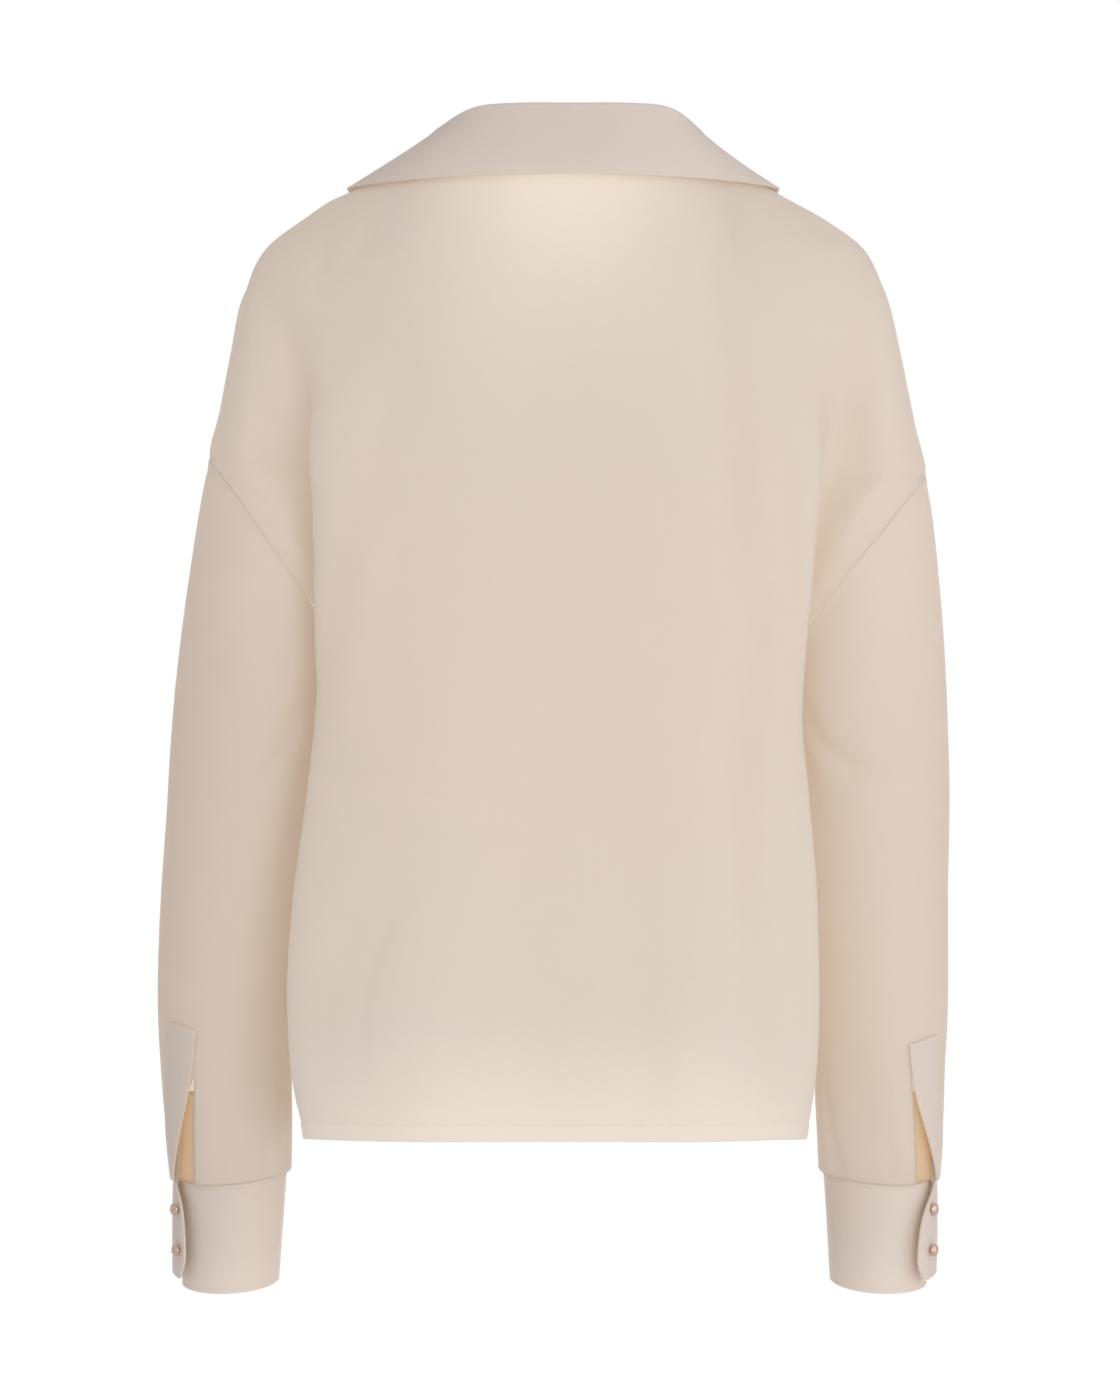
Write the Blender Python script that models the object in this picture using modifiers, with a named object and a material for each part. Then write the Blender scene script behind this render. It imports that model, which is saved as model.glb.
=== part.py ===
"""A silk blouse in the shape it keeps when worn: wide collar, dropped shoulders, buttoned cuffs.

The wearer faces -Y and stands along +Z, with the left arm at +X. The origin is midway between
the two neck points, where the blouse rests on the shoulders. Tables are in millimetres and hold
the mean of both sides; LEAN then moves every level sideways, as the blouse hangs.
"""

import math

import bmesh
import bpy
import numpy as np
from mathutils import Vector
from mathutils.bvhtree import BVHTree

MM = 0.001
NAME = "silk_blouse"

# Walls and gaps
PANEL_WALL = 1.2 * MM
FACED_WALL = 1.6 * MM
SEAM_GAP = 0.5 * MM
NECK_GAP = 1.6 * MM
CROWN_GAP = 0.9 * MM
UNDERLAP_GAP = 1.4 * MM

# Sleeve opening, cuff and buttons
SLIT_TURN = 62.5
SLIT_TOP = 0.583
CUFF_TOP = 0.652
CUFF_COLUMNS = 19
BUTTON_RADIUS = 4.0 * MM
BUTTON_HEIGHTS = {"upper": -0.668, "lower": -0.694}
BUTTON_TURN = 34.0
# Half of a button's section, as shares of its radius: distance from the axis and height
BUTTON_PROFILE = (
    (0, 1.178),
    (0.45, 1.116),
    (0.8, 0.93),
    (1.0, 0.651),
    (0.95, 0.465),
    (0.4, 0.372),
    (0.36, 0),
    (0, 0),
)

# The right sleeve is set in a little lower than the left, which fades out along the arm
SIDES = {"left": 1, "right": -1}
RIGHT_ARMHOLE_DROP = 11 * MM
RIGHT_CROWN_OUT = 2.5 * MM
CROWN_START = 180
CROWN_BLEND = 40
DROP_COLUMNS = ("height", "share")
DROP = ((-460, 0), (-330, 1), (-180, 1), (-60, 0))
BODY_REACH = 120
ARM_BLEND = 20

# Sideways hang of the whole blouse at each height
LEAN_COLUMNS = ("height", "shift")
LEAN = (
    (-760, 6.0),
    (-620, 5.5),
    (-581, 6.5),
    (-533, 6.5),
    (-470, 5.5),
    (-406, 3.5),
    (-343, 2.5),
    (-295, 1.0),
    (-200, -1.5),
    (-60, -1.0),
    (0, -1.0),
    (20, -3.5),
    (34, -6.0),
)

# Where the back and the front end: along the shoulder, round the armhole, down the side.
# "down" is the distance down the panel, and "turn" the angle round the armhole from its top.
SEAM_COLUMNS = ("down", "edge_x", "edge_y", "edge_z", "turn")
SEAM_SECTIONS = (
    (0, 88, 0, 7, 0),
    (26, 112, 0, -8, 0),
    (52, 138, 0, -22.5, 0),
    (84, 170, 1, -41, 0),
    (108, 190, 1, -57, 0),
    (134, 203, 1, -82, 0),
    (176, 213, 0, -125, 0),
    (208, 220, -2, -160, 0),
    (238, 226, -4, -190, 0),
    (264, 0, 0, 0, 45),
    (292, 0, 0, 0, 80),
    (324, 0, 0, 0, 115),
    (354, 0, 0, 0, 150),
    (382, 142, -4, -303, 180),
    (414, 134, -6, -343, 180),
    (471, 140, -6, -400, 180),
    (541, 148, -6, -470, 180),
    (604, 154, -6, -533, 180),
    (651, 155, -6, -580, 180),
    (691, 152, -6, -620, 180),
)
SHOULDER_END = 8
UNDERARM = 13
ROW_STEPS = (1,) * SHOULDER_END + (2,) * 5 + (1,) + (2,) * 5

# How far apart the back and the front stay along their seam, by the row of the table above
GAP_COLUMNS = ("row", "gap")
SEAM_GAPS = (
    (0, NECK_GAP),
    (2, NECK_GAP),
    (3, SEAM_GAP),
    (7, SEAM_GAP),
    (SHOULDER_END, CROWN_GAP),
    (9, SEAM_GAP),
)

# The back, from the seam to the spine, one row for each seam section
BACK_COLUMNS = (
    "level", "arm_x", "arm_y", "valley_x", "valley_y",
    "wing_x", "wing_y", "blade_x", "blade_y", "middle_x", "middle_y",
)
BACK_SECTIONS = (
    (-6, 84, 17, 76, 31, 62, 41, 36, 48, 0, 50),
    (-18, 108, 19, 96, 35, 80, 46, 48, 55, 0, 58),
    (-34, 133, 21, 120, 38, 98, 53, 60, 64, 0, 67),
    (-54, 163, 24, 146, 44, 118, 61, 70, 73, 0, 76),
    (-72, 184, 27, 165, 48, 130, 67, 78, 80, 0, 82),
    (-95, 198, 33, 174, 54, 140, 71, 84, 86, 0, 88),
    (-135, 201, 42, 172, 53, 152, 71, 92, 91, 0, 93),
    (-165, 203, 45, 166, 48, 159, 73, 95, 93, 0, 95),
    (-195, 204, 48, 160, 44, 161, 75, 96, 94, 0, 96),
    (-215, 191, 54, 157, 43, 159, 75, 97, 95, 0, 97),
    (-240, 173, 54, 155, 44, 158, 74, 98, 95, 0, 97),
    (-268, 159, 48, 151, 46, 157, 72, 99, 95, 0, 97),
    (-294, 146.5, 34, 147, 46, 156, 69, 100, 95, 0, 98),
    (-316, 141, 16, 142.5, 37, 155, 65, 100, 95, 0, 98),
    (-343, 133, 15, 136, 36, 153, 61, 100, 95, 0, 98),
    (-400, 140, 15, 144, 36, 158, 59, 104, 96, 0, 99),
    (-470, 148, 15, 153, 34, 165, 56, 108, 97, 0, 100),
    (-533, 154, 14, 159, 32, 168, 52, 110, 98, 0, 101),
    (-580, 156, 14, 160, 30, 166, 48, 108, 99, 0, 103),
    (-620, 153, 13, 155, 27, 159, 43, 104, 98, 0, 104),
)
BACK_FALLS = (0.0, 0.25, 0.55, 0.85, 1.0, 1.0)

# The front, from the seam to the edge of the V neck and then to the middle
FRONT_COLUMNS = (
    "level", "arm_x", "arm_y", "valley_x", "valley_y",
    "wing_x", "wing_y", "chest_x", "chest_y", "middle_x", "middle_y",
)
FRONT_SECTIONS = (
    (7, 88, 0, 88, 0, 88, 0, 88, 0, 88, 0),
    (-7, 108, -8, 102, -14, 96, -17, 89, -18, 83, -17),
    (-26, 133, -14, 122, -25, 108, -33, 92, -37, 75, -38),
    (-50, 163, -20, 147, -36, 123, -50, 94, -60, 64, -64),
    (-76, 184, -24, 166, -43, 134, -60, 92, -76, 54, -83),
    (-102, 199, -28, 176, -50, 140, -69, 88, -90, 43, -98),
    (-136, 201, -44, 172, -57, 146, -80, 86, -104, 27, -111),
    (-160, 203, -50, 166, -57, 150, -88, 84, -112, 13, -118),
    (-182, 204, -56, 160, -55, 150, -92, 84, -117, 0, -123),
    (-208, 191, -60, 156, -54, 148, -94, 84, -119, 0, -126),
    (-238, 173, -60, 153, -54, 147, -95, 84, -120, 0, -127),
    (-268, 158, -56, 149, -54, 145, -94, 84, -120, 0, -127),
    (-294, 147, -42, 145, -52, 144, -92, 84, -120, 0, -127),
    (-316, 141, -24, 141, -47, 142, -90, 84, -119, 0, -126),
    (-343, 133, -28, 132, -50, 140, -88, 84, -118, 0, -125),
    (-400, 140, -28, 140, -50, 144, -84, 85, -116, 0, -122),
    (-470, 148, -28, 147, -50, 146, -80, 86, -114, 0, -119),
    (-533, 153, -28, 151, -50, 147, -78, 86, -111, 0, -116),
    (-580, 154, -28, 151, -50, 145, -76, 85, -109, 0, -114),
    (-620, 151, -28, 148, -48, 142, -72, 84, -106, 0, -111),
)
FRONT_FALLS = (0.0, 0.25, 0.5, 0.75, 0.9, 1.0)
# Panel columns, counted in table points from the seam (0) to the middle (5)
COLUMN_STOPS = (0, 0.5, 1, 1.5, 2, 2.5, 3, 3.4, 4, 4.5, 5)

# Rings of the sleeve; the first is the armhole, the last meets the cuff. "rise" is how much
# higher the front of a ring is than its back, since the forearm reaches forward.
SLEEVE_COLUMNS = ("outer_x", "outer_z", "inner_x", "inner_z", "middle_y", "half_depth", "rise")
SLEEVE_SECTIONS = (
    (226, -190, 142, -303, -4, 60, 0),
    (231, -215, 142, -318, -5, 60.5, 0),
    (236.5, -255, 143, -338, -8, 61, 0),
    (241.5, -300, 145, -362, -11, 61, 0),
    (245.5, -350, 148, -392, -16, 60, 0),
    (249, -410, 152, -432, -23, 59, 0),
    (251.5, -470, 158, -480, -32, 57, 1),
    (252.5, -534, 163, -536, -43, 54, 4),
    (250.5, -582, 166.5, -580, -51, 51, 7),
    (248.5, -620, 167.5, -616, -57, 47, 10.5),
    (244.5, -655, 168.5, -649, -62, 41, 14),
)
SLEEVE_STEPS = (1, 1, 1, 1, 1, 1, 1, 1, 2, 2)

# The slit: how far its back and front edges lean forward at the cuff, and how far round the
# cloth follows each of them
BACK_LEAN = 12.0
BACK_REACH = 80.0
FRONT_LEAN = 38.0
FRONT_REACH = 140.0
FRONT_SPREAD = 0.8

# The cuff, a strap wrapped once and overlapped on the outside of the wrist
CUFF_COLUMN_NAMES = ("height", "outer_x", "inner_x", "middle_y", "half_depth", "rise")
CUFF_SECTIONS = (
    (-652, 240.5, 169.5, -62, 40, 14),
    (-686, 239.5, 171.5, -64.5, 38.5, 14),
    (-720, 238.5, 173.5, -68, 37, 14),
)
CUFF_CANT = 3.0
CUFF_STOPS = (-652, -658, -666, -677, -693, -709, -720)
CUFF_UNDER_END = -20.0
# The free edge of the over end: how far round it reaches at each height
TAB_COLUMNS = ("height", "left_turn", "right_turn")
TAB_EDGE = (
    (-652, 379, 377),
    (-658, 387, 386),
    (-665, 394, 396),
    (-676, 399, 405),
    (-692, 402, 410),
    (-708, 402, 411),
    (-720, 394, 404),
)
# How far the strap stands off the wrist, and how much its lower edge is drawn up and
# stands off further there
LIFT_COLUMNS = ("turn", "lift", "drawn_up", "flare")
CUFF_LIFT = (
    (-20, 0, 0, 0),
    (270, 0, 1, 0),
    (325, 2.6, 6, 1.4),
    (360, 3.4, 9, 2.6),
    (411, 5.5, 5.5, 4),
)

# The placket strip that covers the slit: its two edges round the sleeve, how it stands off,
# and how much lower its far edge is than its near one
PLACKET_COLUMNS = ("height", "near_turn", "far_turn", "near_lift", "far_lift", "slant")
PLACKET_SECTIONS = (
    (-548, 36, 66, 0.6, 0.6, 5),
    (-566, 32, 63, 0.6, 0.6, 4.5),
    (-583, 28, 59, 0.6, 0.8, 3.5),
    (-603, 22, 52, 0.6, 2.0, 2),
    (-628, 14, 40, 0.6, 3.0, 1),
    (-651, 8, 26, 0.8, 3.0, 0),
)
# The right placket is a little lower, but both end at the cuff
PLACKET_DROP_COLUMNS = ("height", "drop")
RIGHT_PLACKET_DROP = ((-651, 0), (-603, 7), (-583, 9), (-548, 9))
UNDERLAP_COLUMNS = ("height", "near_turn", "far_turn")
UNDERLAP_SECTIONS = (
    (-592, 52, 60),
    (-612, 38, 58),
    (-633, 26, 55),
    (-651, 20, 53),
)

# The collar from the middle of the back (0) to the point of the V (1): fold, then outer edge
COLLAR_COLUMNS = ("along", "fold_x", "fold_y", "fold_z", "edge_x", "edge_y", "edge_z", "rest")
COLLAR_SECTIONS = (
    (0.00, 0, 51, 34, 0, 60, -10, 3.0),
    (0.10, 34, 49, 34, 44, 59, -10, 3.0),
    (0.19, 60, 40, 32, 84, 50, -11, 2.6),
    (0.26, 76, 23, 23, 114, 33, -13, 2.6),
    (0.313, 86, 1, 12, 135, 4, -19, 2.4),
    (0.42, 77, -31, -10, 128, -26, -34, 2.4),
    (0.58, 57, -70, -49, 106, -62, -76, 2.2),
    (0.76, 36, -104, -100, 82, -98, -126, 2.2),
    (0.88, 19, -117, -137, 70, -108, -146, 2.2),
    (0.985, 4, -127, -171, 58, -118, -162, 2.2),
)
COLLAR_STEPS = (2, 2, 2, 1, 2, 2, 2, 1, 1)
COLLAR_FOLD_RADIUS = 2.8 * MM
COLLAR_FALL = (0.2, 0.4, 0.6, 0.8, 1.0)
COLLAR_BULGE = 0.8 * MM
PANEL_TO_COLLAR = FACED_WALL + 0.5 * MM

SILK = {"color": (0.80, 0.69, 0.55, 1), "roughness": 0.5, "metallic": 0.0}
ROSE_GOLD = {"color": (0.72, 0.50, 0.40, 1), "roughness": 0.28, "metallic": 1.0}


def columns(names, rows):
    """A table as a dictionary of named columns."""
    return dict(zip(names, np.array(rows, float).T))


def smooth(knots, values, at):
    """A smooth curve through the values at the knots, read at other places."""
    knots = np.asarray(knots, float)
    values = np.asarray(values, float)
    at = np.clip(np.asarray(at, float), knots[0], knots[-1])
    steps = np.diff(knots)
    shape = (-1,) + (1,) * (values.ndim - 1)
    rises = np.diff(values, axis=0) / steps.reshape(shape)
    weights = (steps[1:] / (steps[1:] + steps[:-1])).reshape(shape)
    inner = rises[:-1] * weights + rises[1:] * (1 - weights)
    slopes = np.concatenate([rises[:1], inner, rises[-1:]])
    i = np.clip(np.searchsorted(knots, at, "right") - 1, 0, len(knots) - 2)
    wide = steps[i]
    t = (at - knots[i]) / wide
    shape = t.shape + (1,) * (values.ndim - 1)
    t = t.reshape(shape)
    wide = wide.reshape(shape)
    start = (1 + 2 * t) * (1 - t) ** 2 * values[i] + t * (1 - t) ** 2 * wide * slopes[i]
    end = t**2 * (3 - 2 * t) * values[i + 1] + t**2 * (t - 1) * wide * slopes[i + 1]
    return start + end


def stepped(steps):
    """Places along a table, counted in rows, with each stretch cut into its steps."""
    places = [0.0]
    for row, count in enumerate(steps):
        places += [row + (k + 1) / count for k in range(count)]
    return np.array(places)


def leaned(points):
    """The points moved sideways by the hang of the blouse at their height."""
    lean = columns(LEAN_COLUMNS, LEAN)
    moved = np.array(points, float)
    moved[..., 0] += smooth(lean["height"], lean["shift"], moved[..., 2] / MM) * MM
    return moved


def armhole_drop(side, height):
    """The share of the right armhole's shift, fading out along the sleeve and the shoulder."""
    if side > 0:
        return np.zeros_like(height)
    drop = columns(DROP_COLUMNS, DROP)
    return np.interp(height / MM, drop["height"], drop["share"])


def ring(row, turns):
    """A ring of the sleeve, tilted between its outer and inner points."""
    outer_x, outer_z, inner_x, inner_z, middle_y, half_depth, rise = row * MM
    angle = np.radians(turns)
    x = (outer_x + inner_x) / 2 + (outer_x - inner_x) / 2 * np.cos(angle)
    y = middle_y + half_depth * np.sin(angle)
    z = (outer_z + inner_z) / 2 + (outer_z - inner_z) / 2 * np.cos(angle)
    z = z + rise * (1 - np.sin(angle)) / 2
    return np.stack([x, y, z], axis=-1)


def panel_places():
    """The rows of a panel: places in the tables, and the distance down the panel."""
    seam = columns(SEAM_COLUMNS, SEAM_SECTIONS)
    places = stepped(ROW_STEPS)
    down = np.interp(places, np.arange(len(SEAM_SECTIONS)), seam["down"])
    return seam, places, down


def armhole_turns():
    """The angles at which the panel rows reach the armhole."""
    seam, places, down = panel_places()
    turns = np.interp(down, seam["down"], seam["turn"])
    return turns[(places >= SHOULDER_END) & (places <= UNDERARM)]


def seam_edges():
    """The points where a panel's rows end, in the mean shape."""
    seam, places, down = panel_places()
    armhole = np.array(SLEEVE_SECTIONS[0], float)
    known = np.stack([seam["edge_x"], seam["edge_y"], seam["edge_z"]], axis=-1) * MM
    rows = np.arange(len(known))
    known_armhole = (rows >= SHOULDER_END) & (rows <= UNDERARM)
    known[known_armhole] = ring(armhole, seam["turn"][known_armhole])
    edges = smooth(seam["down"], known, down)
    edges[:, 1] = smooth(seam["down"], seam["edge_y"], down) * MM
    on_armhole = (places >= SHOULDER_END) & (places <= UNDERARM)
    edges[on_armhole] = ring(armhole, armhole_turns())
    return edges, on_armhole


def half_panel(names, rows, falls, facing):
    """One half of a panel as a grid of points: facing is +1 for the back and -1 for the front."""
    seam, places, down = panel_places()
    table = columns(names, rows)
    edges, on_armhole = seam_edges()
    if facing < 0:
        middle = columns(SLEEVE_COLUMNS, SLEEVE_SECTIONS)["middle_y"][0] * MM
        edges[:, 1] = np.where(on_armhole, 2 * middle - edges[:, 1], edges[:, 1])
    inner_names = [name for name in names if name != "level"]
    inner = np.stack([table[name] for name in inner_names], axis=-1)
    inner = smooth(seam["down"], inner, down) * MM
    inner[places >= SHOULDER_END, -2] = 0
    level = smooth(seam["down"], table["level"], down) * MM
    turn = np.interp(down, seam["down"], seam["turn"])
    crossing = np.cos(np.radians(turn)) ** 2
    grid = []
    for row, edge in enumerate(edges):
        guide = [edge]
        for k, fall in enumerate(falls[1:]):
            z = edge[2] + (level[row] - edge[2]) * fall
            guide.append((inner[row][2 * k], inner[row][2 * k + 1], z))
        grid.append(row_curve(np.array(guide), crossing[row]))
    grid = np.array(grid)
    meets_other = (places <= SHOULDER_END) | (places >= UNDERARM)
    gaps = columns(GAP_COLUMNS, SEAM_GAPS)
    gap = np.interp(places, gaps["row"], gaps["gap"]) * meets_other
    grid[:, 0, 1] += facing * gap / 2
    if facing < 0:
        grid[0] = grid[0, 0]
    return grid


def row_curve(guide, crossing):
    """A row's curve; where crossing is 1, at a shoulder or side seam, it runs into the other panel."""
    onward = 2 * guide[0] - guide[1]
    mirrored = guide[1] * (1, -1, 1) + guide[0] * (0, 2, 0)
    before = onward + (mirrored - onward) * crossing
    spaced = np.linalg.norm(np.diff(guide, axis=0), axis=1)
    if spaced.sum() < MM:
        return np.repeat(guide[:1], len(COLUMN_STOPS), axis=0)
    first = np.linalg.norm(guide[0] - before)
    knots = np.concatenate([[-max(first, MM)], [0], np.cumsum(np.maximum(spaced, MM / 10))])
    stops = np.interp(COLUMN_STOPS, np.arange(len(guide)), knots[1:])
    return smooth(knots, np.vstack([before, guide]), stops)


def sided(grid, side):
    """The mean shape made into the left or the right side, with its own hang."""
    points = np.array(grid, float)
    share = armhole_drop(side, points[..., 2])
    crown = np.clip((points[..., 0] / MM - CROWN_START) / CROWN_BLEND, 0, 1)
    points[..., 2] -= share * arm_weight(points[..., 0]) * RIGHT_ARMHOLE_DROP
    points[..., 0] += share * crown * RIGHT_CROWN_OUT
    points[..., 0] *= side
    return leaned(points)


def arm_weight(x):
    """0 on the body and 1 on the arm, so that only the armhole moves."""
    return np.clip((x / MM - BODY_REACH) / ARM_BLEND, 0, 1)


def new_object(name, finish):
    """An empty mesh object of the blouse with its own material."""
    mesh = bpy.data.meshes.new(name)
    made = bpy.data.objects.new(name, mesh)
    blouse.objects.link(made)
    material = bpy.data.materials.new(name)
    material.use_nodes = True
    shader = material.node_tree.nodes["Principled BSDF"]
    shader.inputs["Base Color"].default_value = finish["color"]
    shader.inputs["Roughness"].default_value = finish["roughness"]
    shader.inputs["Metallic"].default_value = finish["metallic"]
    mesh.materials.append(material)
    return made


def add_grid(surface, grid, outward):
    """The grid's faces added to a bmesh; outward turns their order."""
    points = [[surface.verts.new(Vector(point)) for point in row] for row in grid]
    for upper, lower in zip(points, points[1:]):
        for k in range(len(upper) - 1):
            corners = [upper[k], upper[k + 1], lower[k + 1], lower[k]]
            surface.faces.new(corners if outward else corners[::-1])


def shell(name, grids, wall):
    """A cloth piece: its outer surface lofted through the grids, with a wall inside it."""
    surface = bmesh.new()
    for grid, outward in grids:
        add_grid(surface, grid, outward)
    bmesh.ops.remove_doubles(surface, verts=surface.verts, dist=0.01 * MM)
    made = new_object(name, SILK)
    surface.to_mesh(made.data)
    surface.free()
    made.data.shade_smooth()
    solid = made.modifiers.new("wall", "SOLIDIFY")
    solid.thickness = wall
    solid.offset = -1
    solid.use_quality_normals = True
    return made


def outer_tree(grids):
    """The outer surfaces of some pieces, for laying another piece on them."""
    surface = bmesh.new()
    for grid, outward in grids:
        add_grid(surface, grid, outward)
    bmesh.ops.remove_doubles(surface, verts=surface.verts, dist=0.01 * MM)
    surface.normal_update()
    tree = BVHTree.FromBMesh(surface)
    surface.free()
    return tree


def slit_turns(around, opened):
    """Turns of a ring whose ends part at the slit and lean forward as it opens."""
    back = np.interp(around, (SLIT_TURN, SLIT_TURN + BACK_REACH), (1, 0))
    front = np.interp(around, (SLIT_TURN + 360 - FRONT_REACH, SLIT_TURN + 360), (0, 1))
    return around - opened * BACK_LEAN * back - opened**FRONT_SPREAD * FRONT_LEAN * front


def sleeve_points(side):
    """The sleeve's surface, from the back edge of the slit all the way round to its front edge."""
    turns = armhole_turns()
    around = np.concatenate([turns, 360 - turns[-2:0:-1], [360 + turns[0]]])
    start = int(np.argmin(np.abs(around - SLIT_TURN)))
    around = np.concatenate([around[start:-1], around[: start + 1] + 360])
    rows = np.array(SLEEVE_SECTIONS, float)
    rings = smooth(np.arange(len(rows)), rows, stepped(SLEEVE_STEPS))
    grid = []
    for row in rings:
        height = ring(row, np.array([SLIT_TURN]))[0][2]
        opened = np.clip((-height - SLIT_TOP) / (CUFF_TOP - SLIT_TOP), 0, 1)
        grid.append(ring(row, slit_turns(around, opened)))
    grid = np.array(grid)
    axis = np.array([rows[0][1] - rows[0][3], 0, rows[0][2] - rows[0][0]])
    grid[0] += axis / np.linalg.norm(axis) * SEAM_GAP
    grid[-1, :, 2] += SEAM_GAP
    return sided(grid, side)


def sleeve_place(height, turn, lift):
    """A point of the sleeve at a height and a turn, moved straight out of its surface."""
    rows = np.array(SLEEVE_SECTIONS, float)
    sleeve = columns(SLEEVE_COLUMNS, SLEEVE_SECTIONS)
    middle_z = (sleeve["outer_z"] + sleeve["inner_z"]) / 2
    level = smooth(-middle_z, rows, [-height])[0]
    at = ring(level, np.array([turn]))[0]
    out = np.array([math.cos(math.radians(turn)), math.sin(math.radians(turn)), 0])
    return at + out * lift * MM


def placket_points(side):
    """The placket strip over the slit: flat in its box, then standing off to its free edge."""
    table = np.array(PLACKET_SECTIONS, float)
    down = -columns(PLACKET_COLUMNS, PLACKET_SECTIONS)["height"]
    lower = columns(PLACKET_DROP_COLUMNS, RIGHT_PLACKET_DROP)
    across = np.linspace(0, 1, 4)
    grid = []
    for height, near, far, near_lift, far_lift, slant in smooth(down, table, stops_down(down)):
        drop = np.interp(height, lower["height"], lower["drop"]) if side < 0 else 0
        rise = FACED_WALL / MM + near_lift + (far_lift - near_lift) * across**1.5
        grid.append([
            sleeve_place(height - drop - slant * t, near + (far - near) * t, up)
            for t, up in zip(across, rise)
        ])
    return sided(np.array(grid), side)


def stops_down(down):
    """Even steps from the first row of a table to its last, two more than it has rows."""
    return np.linspace(down[0], down[-1], len(down) + 2)


def underlap_points(side):
    """The binding on the back edge of the slit, which passes under the placket."""
    table = np.array(UNDERLAP_SECTIONS, float)
    down = -columns(UNDERLAP_COLUMNS, UNDERLAP_SECTIONS)["height"]
    below = -(PANEL_WALL + UNDERLAP_GAP) / MM
    grid = []
    for height, near, far in smooth(down, table, stops_down(down)):
        grid.append([
            sleeve_place(height, near + (far - near) * t, below) for t in (0, 0.33, 0.67, 1)
        ])
    return sided(np.array(grid), side)


def cuff_points(side):
    """The cuff's outer surface, from its under end to the free edge of its over end."""
    table = np.array(CUFF_SECTIONS, float)
    down = -columns(CUFF_COLUMN_NAMES, CUFF_SECTIONS)["height"]
    tab = columns(TAB_COLUMNS, TAB_EDGE)
    tab_turn = tab["left_turn" if side > 0 else "right_turn"]
    lift_table = columns(LIFT_COLUMNS, CUFF_LIFT)
    stops = -np.array(CUFF_STOPS, float)
    ends = smooth(-tab["height"], tab_turn, stops)
    grid = []
    for row, stop, end in zip(smooth(down, table, stops), stops, ends):
        height, outer_x, inner_x, middle_y, half_depth, rise = row
        turns = np.linspace(CUFF_UNDER_END, end, CUFF_COLUMNS)
        tilted = (outer_x, height - CUFF_CANT, inner_x, height + CUFF_CANT)
        level = np.array([*tilted, middle_y, half_depth, rise])
        flat = ring(level, turns)
        share = (stop - stops[0]) / (stops[-1] - stops[0])
        lift, drawn_up, flare = [
            smooth(lift_table["turn"], lift_table[name], turns) for name in LIFT_COLUMNS[1:]
        ]
        lift += flare * math.sqrt(share)
        flat[:, 2] += drawn_up * share * MM
        out = np.stack([np.cos(np.radians(turns)), np.sin(np.radians(turns)), 0 * turns], axis=-1)
        grid.append(flat + out * lift[:, None] * MM)
    return sided(np.array(grid), side)


def neckline(back_half, front_half):
    """The neck edge from the middle of the back to the point of the V."""
    edge = np.vstack([back_half[0][::-1], front_half[1 : SHOULDER_END + 1, -1]])
    lengths = np.concatenate([[0], np.cumsum(np.linalg.norm(np.diff(edge, axis=0), axis=1))])
    return edge, lengths / lengths[-1]


def collar_points(back_half, front_half, bodies):
    """The collar's outer surface: stand, fold and fall, both sides in one grid."""
    edge, along = neckline(back_half, front_half)
    table = np.array(COLLAR_SECTIONS, float)
    places = stepped(COLLAR_STEPS)
    rows = smooth(np.arange(len(table)), table, places)
    named = columns(COLLAR_COLUMNS, rows)
    seams = np.stack([np.interp(named["along"], along, edge[:, k]) for k in range(3)], axis=-1)
    folds = np.stack([named["fold_x"], named["fold_y"], named["fold_z"]], axis=-1) * MM
    edges = np.stack([named["edge_x"], named["edge_y"], named["edge_z"]], axis=-1) * MM
    tangents = np.gradient(seams, axis=0)
    tangents[0] = (1, 0, 0)
    half = []
    for seam, fold, outer, tangent, rest in zip(seams, folds, edges, tangents, named["rest"]):
        half.append(collar_section(seam, fold, outer, tangent, rest * MM, bodies))
    half = np.array(half)
    other = half[:0:-1] * (-1, 1, 1)
    return leaned(np.vstack([other, half]))


def collar_section(seam, fold, outer, tangent, rest, bodies):
    """One section of the collar, from the neck seam over the fold to the resting edge."""
    up = (fold - seam) / np.linalg.norm(fold - seam)
    out = np.cross(tangent, up)
    out /= np.linalg.norm(out)
    if out @ (outer - seam) < 0:
        out = -out
    centre = fold - up * COLLAR_FOLD_RADIUS
    foot = seam + up * SEAM_GAP
    section = [foot, (foot + centre) / 2 - out * COLLAR_FOLD_RADIUS / 2]
    for angle in (0, 60, 120, 180):
        radians = math.radians(angle)
        section.append(
            centre + COLLAR_FOLD_RADIUS * (up * math.sin(radians) - out * math.cos(radians))
        )
    start = section[-1]
    finish = resting(outer, rest + FACED_WALL, bodies)
    for t in COLLAR_FALL:
        point = start + (finish - start) * t + out * COLLAR_BULGE * math.sin(math.pi * t)
        section.append(cleared(point, PANEL_TO_COLLAR, bodies))
    return section


def resting(point, lift, bodies):
    """The place above the nearest cloth, at a given lift."""
    place, normal, _, _ = bodies.find_nearest(Vector(point))
    return np.array(place + normal * lift)


def cleared(point, least, bodies):
    """The point, moved out where it is nearer to the cloth than the least distance."""
    place, normal, _, _ = bodies.find_nearest(Vector(point))
    height = (Vector(point) - place).dot(normal)
    if height < least:
        return np.array(Vector(point) + normal * (least - height))
    return np.array(point)


def button_mesh():
    """A domed metal button on its shank: a profile turned round its own axis."""
    mesh = bpy.data.meshes.new("button")
    turned = bmesh.new()
    previous = None
    for out, up in BUTTON_PROFILE:
        point = turned.verts.new((out * BUTTON_RADIUS, 0, up * BUTTON_RADIUS))
        if previous:
            turned.edges.new((previous, point))
        previous = point
    turned.to_mesh(mesh)
    turned.free()
    return mesh


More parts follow.
